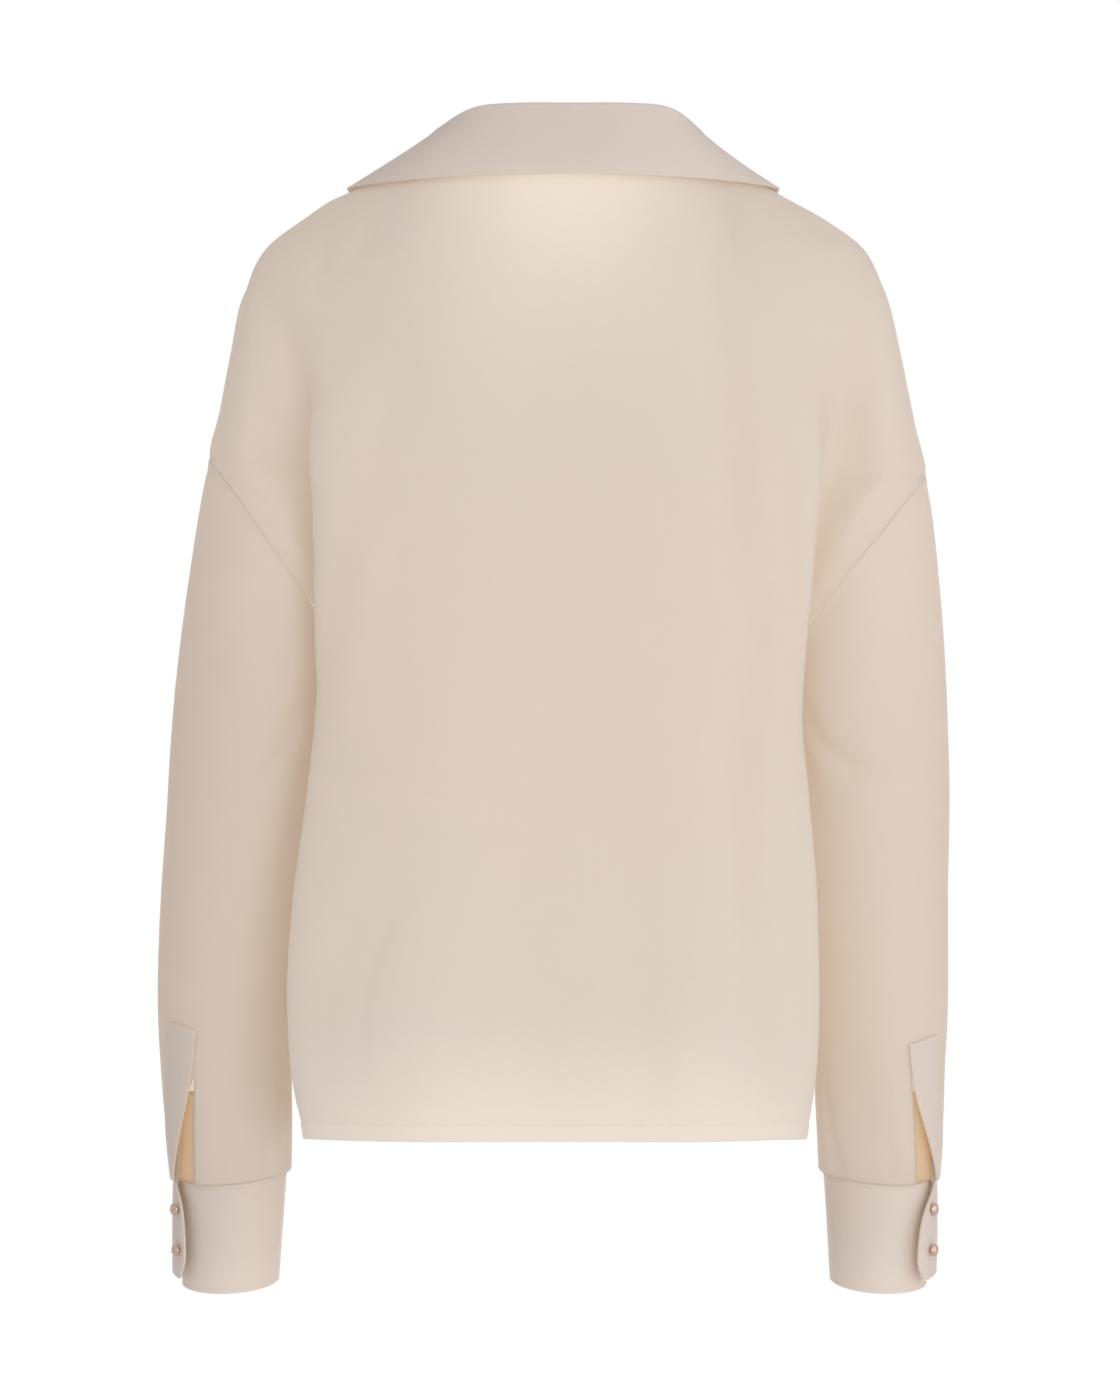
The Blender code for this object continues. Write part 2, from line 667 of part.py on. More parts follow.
def add_button(name, at, out):
    """A button standing on the cuff, its dome outwards."""
    made = new_object(name, ROSE_GOLD)
    material = made.data.materials[0]
    made.data = button_mesh()
    made.data.materials.append(material)
    made.location = at
    made.rotation_mode = "QUATERNION"
    made.rotation_quaternion = Vector(out).to_track_quat("Z", "Y")
    turn = made.modifiers.new("turned", "SCREW")
    turn.axis = "Z"
    turn.steps = 12
    turn.render_steps = 12
    turn.use_merge_vertices = True
    turn.merge_threshold = 0.01 * MM


def add_buttons(side_name, side, cuff_tree):
    """The two buttons of one cuff, on the over end of the strap."""
    cuff = columns(CUFF_COLUMN_NAMES, CUFF_SECTIONS)
    centre_x = (cuff["outer_x"][1] + cuff["inner_x"][1]) / 2 * MM
    centre_y = cuff["middle_y"][1] * MM
    out = Vector((math.cos(math.radians(BUTTON_TURN)), math.sin(math.radians(BUTTON_TURN)), 0))
    for place, height in BUTTON_HEIGHTS.items():
        middle = Vector(leaned(np.array([centre_x * side, centre_y, height])))
        direction = Vector((out.x * side, out.y, 0))
        hit, _, _, _ = cuff_tree.ray_cast(middle + direction * 0.1, -direction)
        at = hit + direction * SEAM_GAP
        add_button(f"button_{side_name}_{place}", at, direction)


for old in list(bpy.data.objects):
    bpy.data.objects.remove(old)
blouse = bpy.data.collections.new(NAME)
bpy.context.scene.collection.children.link(blouse)

back_half = half_panel(BACK_COLUMNS, BACK_SECTIONS, BACK_FALLS, 1)
front_half = half_panel(FRONT_COLUMNS, FRONT_SECTIONS, FRONT_FALLS, -1)
back_grids = [(sided(back_half, side), side < 0) for side in SIDES.values()]
front_grids = [(sided(front_half, side), side > 0) for side in SIDES.values()]
shell("back", back_grids, PANEL_WALL)
shell("front", front_grids, PANEL_WALL)

mean_back = [(back_half * (side, 1, 1), side < 0) for side in SIDES.values()]
mean_front = [(front_half * (side, 1, 1), side > 0) for side in SIDES.values()]
bodies = outer_tree(mean_back + mean_front)
shell("collar", [(collar_points(back_half, front_half, bodies), True)], FACED_WALL)

for side_name, side in SIDES.items():
    shell(f"sleeve_{side_name}", [(sleeve_points(side), side < 0)], PANEL_WALL)
    shell(f"placket_{side_name}", [(placket_points(side), side < 0)], FACED_WALL)
    shell(f"underlap_{side_name}", [(underlap_points(side), side < 0)], PANEL_WALL)
    cuff = cuff_points(side)
    shell(f"cuff_{side_name}", [(cuff, side < 0)], FACED_WALL)
    add_buttons(side_name, side, outer_tree([(cuff, side < 0)]))
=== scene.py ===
# %% [markdown]
# # A silk blouse, in the shape it keeps when worn
# The blouse is cut from flat pieces: a back, a front with a V neck, two sleeves, a wide collar,
# two cuffs and the small strips that finish the sleeve slits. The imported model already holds
# their true places. This lesson turns each plain wall into soft ivory silk around that frame.

# %% Load the frame
import math

import bmesh
import bpy
import numpy as np
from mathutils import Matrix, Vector
from mathutils.bvhtree import BVHTree


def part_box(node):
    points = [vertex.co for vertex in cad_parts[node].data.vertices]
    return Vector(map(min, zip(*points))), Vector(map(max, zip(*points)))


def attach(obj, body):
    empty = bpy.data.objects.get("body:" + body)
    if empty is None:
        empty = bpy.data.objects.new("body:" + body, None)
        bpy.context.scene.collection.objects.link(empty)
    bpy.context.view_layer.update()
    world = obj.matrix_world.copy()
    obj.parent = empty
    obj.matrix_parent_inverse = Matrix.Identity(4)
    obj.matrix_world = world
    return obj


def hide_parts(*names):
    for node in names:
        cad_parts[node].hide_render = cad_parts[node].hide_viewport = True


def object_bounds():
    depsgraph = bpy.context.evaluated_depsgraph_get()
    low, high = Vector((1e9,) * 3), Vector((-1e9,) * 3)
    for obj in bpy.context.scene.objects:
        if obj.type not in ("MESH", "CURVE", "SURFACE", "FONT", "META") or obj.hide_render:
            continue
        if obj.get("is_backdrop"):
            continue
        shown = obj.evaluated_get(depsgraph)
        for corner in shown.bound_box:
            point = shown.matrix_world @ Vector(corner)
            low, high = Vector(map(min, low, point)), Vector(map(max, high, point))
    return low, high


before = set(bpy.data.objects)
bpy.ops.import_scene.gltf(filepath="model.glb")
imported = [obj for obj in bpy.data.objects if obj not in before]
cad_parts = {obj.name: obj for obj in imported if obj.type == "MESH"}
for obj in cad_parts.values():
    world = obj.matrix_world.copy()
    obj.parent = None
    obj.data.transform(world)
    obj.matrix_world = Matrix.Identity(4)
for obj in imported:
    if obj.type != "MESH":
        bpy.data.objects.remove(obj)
cad_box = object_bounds()
MM = 0.001
SIDES = {"left": 1, "right": -1}
print("frame:", [round(corner, 3) for corner in (*cad_box[0], *cad_box[1])])

# %% [markdown]
# ## Sizes of the cut and the drape
# Cloth has no thickness to speak of, so its shape is a set of level sections. Each table row is
# one level, and each named column is a place that a tailor would point at: the seam, the back of
# the arm, the valley beside it, the wing of loose cloth, the shoulder blade and the middle.
# A smooth curve joins the levels, so few numbers give the whole form. They are in millimetres.

# %% Tables of the drape
SEAM_COLUMNS = ("down", "edge_x", "edge_y", "edge_z", "turn")
SEAM_SECTIONS = (
    (0, 88, 0, 7, 0),
    (26, 112, 0, -8, 0),
    (52, 138, 0, -22.5, 0),
    (84, 170, 1, -41, 0),
    (108, 190, 1, -57, 0),
    (134, 203, 1, -82, 0),
    (176, 213, 0, -125, 0),
    (208, 220, -2, -160, 0),
    (238, 226, -4, -190, 0),
    (264, 0, 0, 0, 45),
    (292, 0, 0, 0, 80),
    (324, 0, 0, 0, 115),
    (354, 0, 0, 0, 150),
    (382, 142, -4, -303, 180),
    (414, 134, -6, -343, 180),
    (471, 140, -6, -400, 180),
    (541, 148, -6, -470, 180),
    (604, 154, -6, -533, 180),
    (651, 155, -6, -580, 180),
    (691, 152, -6, -620, 180),
)
SHOULDER_END = 8
UNDERARM = 13
BACK_COLUMNS = (
    "level", "arm_x", "arm_y", "valley_x", "valley_y",
    "wing_x", "wing_y", "blade_x", "blade_y", "middle_x", "middle_y",
)
BACK_SECTIONS = (
    (-6, 84, 17, 76, 31, 62, 41, 36, 48, 0, 50),
    (-18, 108, 19, 96, 35, 80, 46, 48, 55, 0, 58),
    (-34, 133, 21, 120, 38, 98, 53, 60, 64, 0, 67),
    (-54, 163, 24, 146, 44, 118, 61, 70, 73, 0, 76),
    (-72, 184, 27, 165, 48, 130, 67, 78, 80, 0, 82),
    (-95, 198, 33, 174, 54, 140, 71, 84, 86, 0, 88),
    (-135, 201, 42, 172, 53, 152, 71, 92, 91, 0, 93),
    (-165, 203, 45, 166, 48, 159, 73, 95, 93, 0, 95),
    (-195, 204, 48, 160, 44, 161, 75, 96, 94, 0, 96),
    (-215, 191, 54, 157, 43, 159, 75, 97, 95, 0, 97),
    (-240, 173, 54, 155, 44, 158, 74, 98, 95, 0, 97),
    (-268, 159, 48, 151, 46, 157, 72, 99, 95, 0, 97),
    (-294, 146.5, 34, 147, 46, 156, 69, 100, 95, 0, 98),
    (-316, 141, 16, 142.5, 37, 155, 65, 100, 95, 0, 98),
    (-343, 133, 15, 136, 36, 153, 61, 100, 95, 0, 98),
    (-400, 140, 15, 144, 36, 158, 59, 104, 96, 0, 99),
    (-470, 148, 15, 153, 34, 165, 56, 108, 97, 0, 100),
    (-533, 154, 14, 159, 32, 168, 52, 110, 98, 0, 101),
    (-580, 156, 14, 160, 30, 166, 48, 108, 99, 0, 103),
    (-620, 153, 13, 155, 27, 159, 43, 104, 98, 0, 104),
)
BACK_FALLS = (0.0, 0.25, 0.55, 0.85, 1.0, 1.0)
FRONT_COLUMNS = (
    "level", "arm_x", "arm_y", "valley_x", "valley_y",
    "wing_x", "wing_y", "chest_x", "chest_y", "middle_x", "middle_y",
)
FRONT_SECTIONS = (
    (7, 88, 0, 88, 0, 88, 0, 88, 0, 88, 0),
    (-7, 108, -8, 102, -14, 96, -17, 89, -18, 83, -17),
    (-26, 133, -14, 122, -25, 108, -33, 92, -37, 75, -38),
    (-50, 163, -20, 147, -36, 123, -50, 94, -60, 64, -64),
    (-76, 184, -24, 166, -43, 134, -60, 92, -76, 54, -83),
    (-102, 199, -28, 176, -50, 140, -69, 88, -90, 43, -98),
    (-136, 201, -44, 172, -57, 146, -80, 86, -104, 27, -111),
    (-160, 203, -50, 166, -57, 150, -88, 84, -112, 13, -118),
    (-182, 204, -56, 160, -55, 150, -92, 84, -117, 0, -123),
    (-208, 191, -60, 156, -54, 148, -94, 84, -119, 0, -126),
    (-238, 173, -60, 153, -54, 147, -95, 84, -120, 0, -127),
    (-268, 158, -56, 149, -54, 145, -94, 84, -120, 0, -127),
    (-294, 147, -42, 145, -52, 144, -92, 84, -120, 0, -127),
    (-316, 141, -24, 141, -47, 142, -90, 84, -119, 0, -126),
    (-343, 133, -28, 132, -50, 140, -88, 84, -118, 0, -125),
    (-400, 140, -28, 140, -50, 144, -84, 85, -116, 0, -122),
    (-470, 148, -28, 147, -50, 146, -80, 86, -114, 0, -119),
    (-533, 153, -28, 151, -50, 147, -78, 86, -111, 0, -116),
    (-580, 154, -28, 151, -50, 145, -76, 85, -109, 0, -114),
    (-620, 151, -28, 148, -48, 142, -72, 84, -106, 0, -111),
)
FRONT_FALLS = (0.0, 0.25, 0.5, 0.75, 0.9, 1.0)
LEAN_COLUMNS = ("height", "shift")
LEAN = (
    (-760, 6.0), (-620, 5.5), (-581, 6.5), (-533, 6.5), (-470, 5.5), (-406, 3.5), (-343, 2.5),
    (-295, 1.0), (-200, -1.5), (-60, -1.0), (0, -1.0), (20, -3.5), (34, -6.0),
)
RIGHT_ARMHOLE_DROP = 11 * MM
RIGHT_CROWN_OUT = 2.5 * MM
DROP_HEIGHTS = (-460, -330, -180, -60)
DROP_SHARES = (0, 1, 1, 0)
ARM_START = 120
ARM_BLEND = 20
CROWN_START = 180
CROWN_BLEND = 40

# %% [markdown]
# ## Reading the tables
# A cubic curve with averaged slopes passes through every row without straight stretches between.
# The same small function serves levels, sections and single values. Two more helpers make the
# left and right sides: the right armhole sits a little lower, and the whole blouse leans.

# %% Curves and sides
def columns(names, rows):
    """A table as a dictionary of named columns."""
    return dict(zip(names, np.array(rows, float).T))


def smooth(knots, values, at):
    """A smooth curve through the values at the knots, read at other places."""
    knots = np.asarray(knots, float)
    values = np.asarray(values, float)
    at = np.clip(np.asarray(at, float), knots[0], knots[-1])
    steps = np.diff(knots)
    shape = (-1,) + (1,) * (values.ndim - 1)
    rises = np.diff(values, axis=0) / steps.reshape(shape)
    weights = (steps[1:] / (steps[1:] + steps[:-1])).reshape(shape)
    inner = rises[:-1] * weights + rises[1:] * (1 - weights)
    slopes = np.concatenate([rises[:1], inner, rises[-1:]])
    i = np.clip(np.searchsorted(knots, at, "right") - 1, 0, len(knots) - 2)
    wide = steps[i]
    t = (at - knots[i]) / wide
    shape = t.shape + (1,) * (values.ndim - 1)
    t = t.reshape(shape)
    wide = wide.reshape(shape)
    start = (1 + 2 * t) * (1 - t) ** 2 * values[i] + t * (1 - t) ** 2 * wide * slopes[i]
    end = t**2 * (3 - 2 * t) * values[i + 1] + t**2 * (t - 1) * wide * slopes[i + 1]
    return start + end


def ramp(value, low, high):
    """0 below low, 1 above high and a soft step between."""
    t = np.clip((np.asarray(value, float) - low) / (high - low), 0, 1)
    return t * t * (3 - 2 * t)


def sided(grid, side):
    """The mean shape made into the left or the right side, with its own hang."""
    points = np.array(grid, float)
    if side < 0:
        fade = np.interp(points[..., 2] / MM, DROP_HEIGHTS, DROP_SHARES)
        on_arm = np.clip((points[..., 0] / MM - ARM_START) / ARM_BLEND, 0, 1)
        crown = np.clip((points[..., 0] / MM - CROWN_START) / CROWN_BLEND, 0, 1)
        points[..., 2] -= fade * on_arm * RIGHT_ARMHOLE_DROP
        points[..., 0] += fade * crown * RIGHT_CROWN_OUT
    points[..., 0] *= side
    return leaned(points)


def leaned(points):
    """The points moved sideways by the hang of the blouse at their height."""
    lean = columns(LEAN_COLUMNS, LEAN)
    moved = np.array(points, float)
    moved[..., 0] += smooth(lean["height"], lean["shift"], moved[..., 2] / MM) * MM
    return moved


def ring(row, turns):
    """A ring of the sleeve, tilted between its outer and inner points."""
    outer_x, outer_z, inner_x, inner_z, middle_y, half_depth, rise = row * MM
    angle = np.radians(turns)
    x = (outer_x + inner_x) / 2 + (outer_x - inner_x) / 2 * np.cos(angle)
    y = middle_y + half_depth * np.sin(angle)
    z = (outer_z + inner_z) / 2 + (outer_z - inner_z) / 2 * np.cos(angle)
    z = z + rise * (1 - np.sin(angle)) / 2
    return np.stack([x, y, z], axis=-1)


# %% [markdown]
# ## A grid that becomes cloth
# Every piece of cloth starts as Blender's own grid, made with `create_grid`. Its points are then
# moved to their places on the drape, and the distances along the cloth become its UV map, so a
# weave keeps its scale round every fold. A Solidify modifier gives the finished cloth its wall.

# %% Cloth from a grid
CLOTH_WALL = 0.7 * MM
MERGE_WITHIN = 0.02 * MM
RAW_EDGE_ANGLE = math.radians(60)


def along(points, axis):
    """Distance along the cloth from the first row or column."""
    steps = np.linalg.norm(np.diff(points, axis=axis), axis=-1)
    start = np.zeros_like(np.take(steps, [0], axis=axis))
    return np.concatenate([start, np.cumsum(steps, axis=axis)], axis=axis)


def normals_of(points, outward):
    """The outward direction at every point of a grid."""
    across = np.gradient(points, axis=1)
    down = np.gradient(points, axis=0)
    normal = np.cross(down, across) * (1 if outward else -1)
    length = np.linalg.norm(normal, axis=-1, keepdims=True)
    return normal / np.maximum(length, 1e-12)


def grid_bmesh(points, outward, split=None):
    """Blender's grid with its points moved to the drape. The halves may part at a split column."""
    rows, count = points.shape[:2]
    sheet = bmesh.new()
    bmesh.ops.create_grid(sheet, x_segments=count - 1, y_segments=rows - 1, size=0.5)
    flat = np.stack([along(points, 1), along(points, 0)], axis=-1)
    uv_layer = sheet.loops.layers.uv.new("cloth")
    sheet.verts.index_update()
    place = [
        (round((0.5 - vert.co.y) * (rows - 1)), round((vert.co.x + 0.5) * (count - 1)))
        for vert in sheet.verts
    ]
    for face in sheet.faces:
        for loop in face.loops:
            loop[uv_layer].uv = flat[place[loop.vert.index]]
    if split is not None:
        between = [
            face for face in sheet.faces
            if {place[vert.index][1] for vert in face.verts} == {split, split + 1}
        ]
        bmesh.ops.delete(sheet, geom=between, context="FACES_ONLY")
    for vert, where in zip(sheet.verts, place):
        vert.co = points[where]
    if not outward:
        bmesh.ops.reverse_faces(sheet, faces=sheet.faces)
    bmesh.ops.remove_doubles(sheet, verts=sheet.verts, dist=MERGE_WITHIN)
    return sheet


def finished(name, sheet):
    """A bmesh made into a smooth object of the scene."""
    mesh = bpy.data.meshes.new(name)
    sheet.to_mesh(mesh)
    sheet.free()
    mesh.shade_smooth()
    made = bpy.data.objects.new(name, mesh)
    bpy.context.scene.collection.objects.link(made)
    print(name, len(mesh.polygons), "faces")
    return made


def cloth(name, points, outward, wall=CLOTH_WALL, split=None, rounded=0):
    """A piece of cloth over a grid of points, with its wall inside and, when asked, its raw edges
    rounded.
    """
    made = finished(name, grid_bmesh(points, outward, split))
    solid = made.modifiers.new("wall", "SOLIDIFY")
    solid.thickness = wall
    solid.offset = -1
    solid.use_quality_normals = True
    if rounded:
        edge = made.modifiers.new("rounded", "BEVEL")
        edge.width = rounded
        edge.segments = 2
        edge.limit_method = "ANGLE"
        edge.angle_limit = RAW_EDGE_ANGLE
    return made


# %% [markdown]
# ## Listed folds
# Silk hangs in long soft folds, so each one is a row of a table: where it starts (x, z) and ends
# (x, z), how far it bows, how wide and how high it is. A trough is a ridge of negative height.
# Every point near the line is moved along its normal, and the fold fades out at both ends.

# %% Fold tools
FOLD_DEPTH = 1.35
FADE_LEAST = 0.15
FADE_START = 0.08
FADE_POWER = 0.8


def folded(points, outward, folds, chart=None):
    """The points moved along their normals by a table of folds, laid out on a chart in mm."""
    normal = normals_of(points, outward)
    if chart is None:
        chart = points[..., (0, 2)] / MM
    moved = np.zeros(points.shape[:2])
    for from_x, from_z, to_x, to_z, bow, width, height in folds:
        start = np.array([from_x, from_z])
        run = np.array([to_x, to_z]) - start
        length = np.linalg.norm(run)
        forward = run / length
        sideways = np.array([-forward[1], forward[0]])
        t = ((chart - start) @ forward) / length
        inside = np.clip(t, 0, 1)
        off = (chart - start) @ sideways - bow * 4 * inside * (1 - inside)
        beyond = (t - inside) * length
        reach = np.hypot(off, beyond)
        rounded = np.sin(math.pi * (FADE_START + (1 - 2 * FADE_START) * inside)) ** FADE_POWER
        fade = FADE_LEAST + (1 - FADE_LEAST) * rounded
        moved += FOLD_DEPTH * height * fade * np.exp(-((reach / width) ** 2))
    return points + normal * (moved * MM)[..., None]


def groove(distance, depth, width):
    """How deep a line of stitches pulls the cloth in, at a distance from it."""
    return depth * np.exp(-((distance / width) ** 2))


# %% [markdown]
# ## The back and the front
# Each level runs from the seam, round the back of the arm, down into the valley beside it and
# out over the loose wing of cloth to the middle. Where two panels meet at a shoulder or a side,
# the curve is given the other panel's mirror point, so the cloth passes over the seam smoothly.

# %% Panels
PANEL_ROWS = 198
HEM_REACH = 17.0
HEM_STEPS = (0.0, 0.5, 1.2, 2.4, 4.0, 6.0, 8.0, 9.4, 10.3, 11.0, 11.7, 12.6, 14.0)
PANEL_STEPS = (12, 15, 15, 18, 24)
LEAST_STEP = MM / 100
MIDDLE_MEETS = 0.3 * MM


def panel_downs():
    """Distances down a panel: even, then close together in the hem, with one at the armhole."""
    first, last = SEAM_SECTIONS[SHOULDER_END][0], SEAM_SECTIONS[-1][0]
    hem = last - np.array(HEM_STEPS[::-1])
    down = np.concatenate([np.linspace(0, last - HEM_REACH, PANEL_ROWS - len(hem)), hem])
    down[int(np.argmin(np.abs(down - first)))] = first
    return down


def apex_row():
    """The row at the shoulder end of the armhole, where the V of the front also ends."""
    return int(np.argmin(np.abs(panel_downs() - SEAM_SECTIONS[SHOULDER_END][0])))


def panel_stops():
    """Places along a level, counted in table points from the seam to the middle."""
    stops = [0.0]
    for part, count in enumerate(PANEL_STEPS):
        stops += [part + (k + 1) / count for k in range(count)]
    return np.array(stops)


def seam_edges(down):
    """The seam points at distances down the panel, and the angle reached round the armhole."""
    seam = columns(SEAM_COLUMNS, SEAM_SECTIONS)
    armhole = np.array(SLEEVE_SECTIONS[0], float)
    known = np.stack([seam["edge_x"], seam["edge_y"], seam["edge_z"]], axis=-1) * MM
    rows = np.arange(len(known))
    at_armhole = (rows >= SHOULDER_END) & (rows <= UNDERARM)
    known[at_armhole] = ring(armhole, seam["turn"][at_armhole])
    edges = smooth(seam["down"], known, down)
    edges[:, 1] = smooth(seam["down"], seam["edge_y"], down) * MM
    turn = np.clip(np.interp(down, seam["down"], seam["turn"]), 0, 180)
    first, last = seam["down"][SHOULDER_END], seam["down"][UNDERARM]
    on_armhole = (down >= first) & (down <= last)
    edges[on_armhole] = ring(armhole, turn[on_armhole])
    return edges, on_armhole, turn


def row_curve(guide, crossing, opens):
    """A level's curve; crossing is 1 at a shoulder or side seam, and opens at a neck edge."""
    onward = 2 * guide[0] - guide[1]
    mirrored = guide[1] * (1, -1, 1) + guide[0] * (0, 2, 0)
    before = onward + (mirrored - onward) * crossing
    after = 2 * guide[-1] - guide[-2] if opens else guide[-2] * (-1, 1, 1)
    spaced = np.maximum(np.linalg.norm(np.diff(guide, axis=0), axis=1), LEAST_STEP)
    first = max(np.linalg.norm(guide[0] - before), MM)
    last = max(np.linalg.norm(guide[-1] - after), LEAST_STEP)
    inner = np.concatenate([[0], np.cumsum(spaced)])
    knots = np.concatenate([[-first], inner, [inner[-1] + last]])
    stops = np.interp(panel_stops(), np.arange(len(guide)), inner)
    return smooth(knots, np.vstack([before, guide, after]), stops)


def half_panel(names, rows, falls, facing):
    """One half of a panel: facing is +1 for the back and -1 for the front."""
    seam = columns(SEAM_COLUMNS, SEAM_SECTIONS)
    table = columns(names, rows)
    down = panel_downs()
    apex = apex_row()
    edges, on_armhole, turn = seam_edges(down)
    if facing < 0:
        middle = columns(SLEEVE_COLUMNS, SLEEVE_SECTIONS)["middle_y"][0] * MM
        edges[:, 1] = np.where(on_armhole, 2 * middle - edges[:, 1], edges[:, 1])
    inner = np.stack([table[name] for name in names if name != "level"], axis=-1)
    inner = smooth(seam["down"], inner, down) * MM
    inner[:, -2] = np.where(np.arange(PANEL_ROWS) < apex, np.maximum(inner[:, -2], 0), 0)
    level = smooth(seam["down"], table["level"], down) * MM
    crossing = np.cos(np.radians(turn)) ** 2
    grid = []
    for row, edge in enumerate(edges):
        guide = [edge]
        for k, fall in enumerate(falls[1:]):
            z = edge[2] + (level[row] - edge[2]) * fall
            guide.append((inner[row][2 * k], inner[row][2 * k + 1], z))
        opens = facing < 0 and row < apex
        grid.append(row_curve(np.array(guide), crossing[row], opens))
    grid = np.array(grid)
    if facing < 0:
        grid[0] = grid[0, 0]
    return grid


def panel_points(half):
    """Both halves side by side, from the left seam to the right seam."""
    return np.concatenate([sided(half, 1), sided(half, -1)[:, ::-1]], axis=1)


def closed_middle(points):
    """The panel with its two middle columns made one wherever they meet."""
    middle = points.shape[1] // 2
    apart = np.linalg.norm(points[:, middle - 1] - points[:, middle], axis=-1)
    meet = apart < MIDDLE_MEETS
    shared = (points[meet, middle - 1] + points[meet, middle]) / 2
    points[meet, middle - 1] = points[meet, middle] = shared
    return points


# %% [markdown]
# ## Sleeves
# A sleeve is a tube of rings. The first ring is the slanting armhole of a dropped shoulder, and
# the rings level out on their way to the wrist. Its grid starts and ends at the slit above the
# cuff, so the tube is simply left open there and sewn together, as merged points, above it.

# %% Sleeve rings
SLEEVE_COLUMNS = ("outer_x", "outer_z", "inner_x", "inner_z", "middle_y", "half_depth", "rise")
SLEEVE_SECTIONS = (
    (226, -190, 142, -303, -4, 60, 0),
    (231, -215, 142, -318, -5, 60.5, 0),
    (236.5, -255, 143, -338, -8, 61, 0),
    (241.5, -300, 145, -362, -11, 61, 0),
    (245.5, -350, 148, -392, -16, 60, 0),
    (249, -410, 152, -432, -23, 59, 0),
    (251.5, -470, 158, -480, -32, 57, 1),
    (252.5, -534, 163, -536, -43, 54, 4),
    (250.5, -582, 166.5, -580, -51, 51, 7),
    (248.5, -620, 167.5, -616, -57, 47, 10.5),
    (244.5, -655, 168.5, -649, -62, 41, 14),
)
SLEEVE_ROWS = 170
SEAM_PLACES = (0, 0.02, 0.04, 0.08, 0.14, 0.2)
SLEEVE_AROUND = 132
SLIT_TURN = 62.5
SLIT_TOP = 0.583
CUFF_TOP = 0.652
BACK_LEAN = 12.0
BACK_REACH = 80.0
FRONT_LEAN = 38.0
FRONT_REACH = 140.0
FRONT_SPREAD = 0.8


print("rings:", len(SLEEVE_SECTIONS), "at the armhole:", ring(np.array(SLEEVE_SECTIONS[0]), 0))

# %% [markdown]
# ## Sleeve folds and the open slit
# Below its slit the sleeve parts: the edge nearer the back slides under, and the front edge is
# pulled forward and lifts a little. A chart of turn and height lets the same fold tool crease the
# sleeves, because one degree of turn is close to one millimetre of cloth.

# %% Sleeves
SLEEVE_FOLDS = {
    "left": (
        (126, -352, 108, -386, 3, 9, -3.2),
        (138, -366, 112, -372, -2, 7, 1.8),
        (150, -330, 128, -452, 6, 13, -1.6),
        (100, -236, 148, -318, 6, 14, -1.5),
        (60, -250, 96, -345, -5, 18, 1.0),
        (156, -556, 146, -622, 3, 7, -2.0),
        (118, -560, 112, -640, -3, 15, -1.2),
        (92, -604, 88, -648, 2, 8, -1.2),
        (130, -618, 127, -650, 1, 5, -1.4),
        (66, -598, 62, -649, 2, 7, -0.8),
        (210, -330, 262, -402, 6, 11, -2.6),
        (232, -372, 286, -386, -4, 9, 1.7),
        (200, -405, 268, -470, 5, 16, -1.6),
        (300, -240, 262, -350, 6, 16, -1.4),
        (250, -560, 246, -646, 4, 11, -1.6),
        (292, -590, 296, -648, -3, 8, -1.3),
        (332, -596, 336, -647, 3, 8, -1.0),
        (12, -420, 30, -540, 4, 22, -1.0),
    ),
    "right": (
        (140, -352, 88, -390, 9, 8, -3.0),
        (132, -378, 100, -402, -4, 8, 1.6),
        (112, -380, 104, -398, 1, 9, -1.8),
        (152, -322, 130, -440, 7, 13, -1.6),
        (98, -246, 146, -330, -6, 15, -1.4),
        (58, -262, 90, -352, 5, 18, 1.0),
        (151, -586, 129, -646, 5, 7, -2.0),
        (112, -572, 108, -642, -3, 15, -1.2),
        (88, -612, 84, -649, 2, 8, -1.1),
        (66, -600, 60, -648, -2, 7, -0.8),
        (206, -342, 258, -410, -6, 11, -2.6),
        (236, -384, 284, -398, 4, 9, 1.6),
        (204, -418, 262, -486, 5, 16, -1.5),
        (298, -252, 258, -360, -6, 16, -1.4),
        (246, -556, 250, -645, -4, 11, -1.6),
        (290, -596, 286, -649, 3, 8, -1.3),
        (330, -592, 334, -648, -3, 8, -1.0),
        (16, -430, 34, -548, -4, 22, -1.0),
    ),
}
SEAM_PROUD = 0.6
SEAM_FADE = (1.5, 7)


def slit_turns(around, opened):
    """Turns of a ring whose ends part at the slit and lean forward as it opens."""
    back = np.interp(around, (SLIT_TURN, SLIT_TURN + BACK_REACH), (1, 0))
    front = np.interp(around, (SLIT_TURN + 360 - FRONT_REACH, SLIT_TURN + 360), (0, 1))
    return around - opened * BACK_LEAN * back - opened**FRONT_SPREAD * FRONT_LEAN * front


def sleeve_folded(grid, side, folds, around):
    """The folds laid on the closed tube, on both sides of its seam, and the tube closed again."""
    moved = grid
    for whole_turn in (0, 360):
        chart = np.stack(
            np.broadcast_arrays(around[None, :] - whole_turn, grid[..., 2] / MM), axis=-1
        )
        moved = moved + folded(grid, side > 0, folds, chart) - grid
    return moved


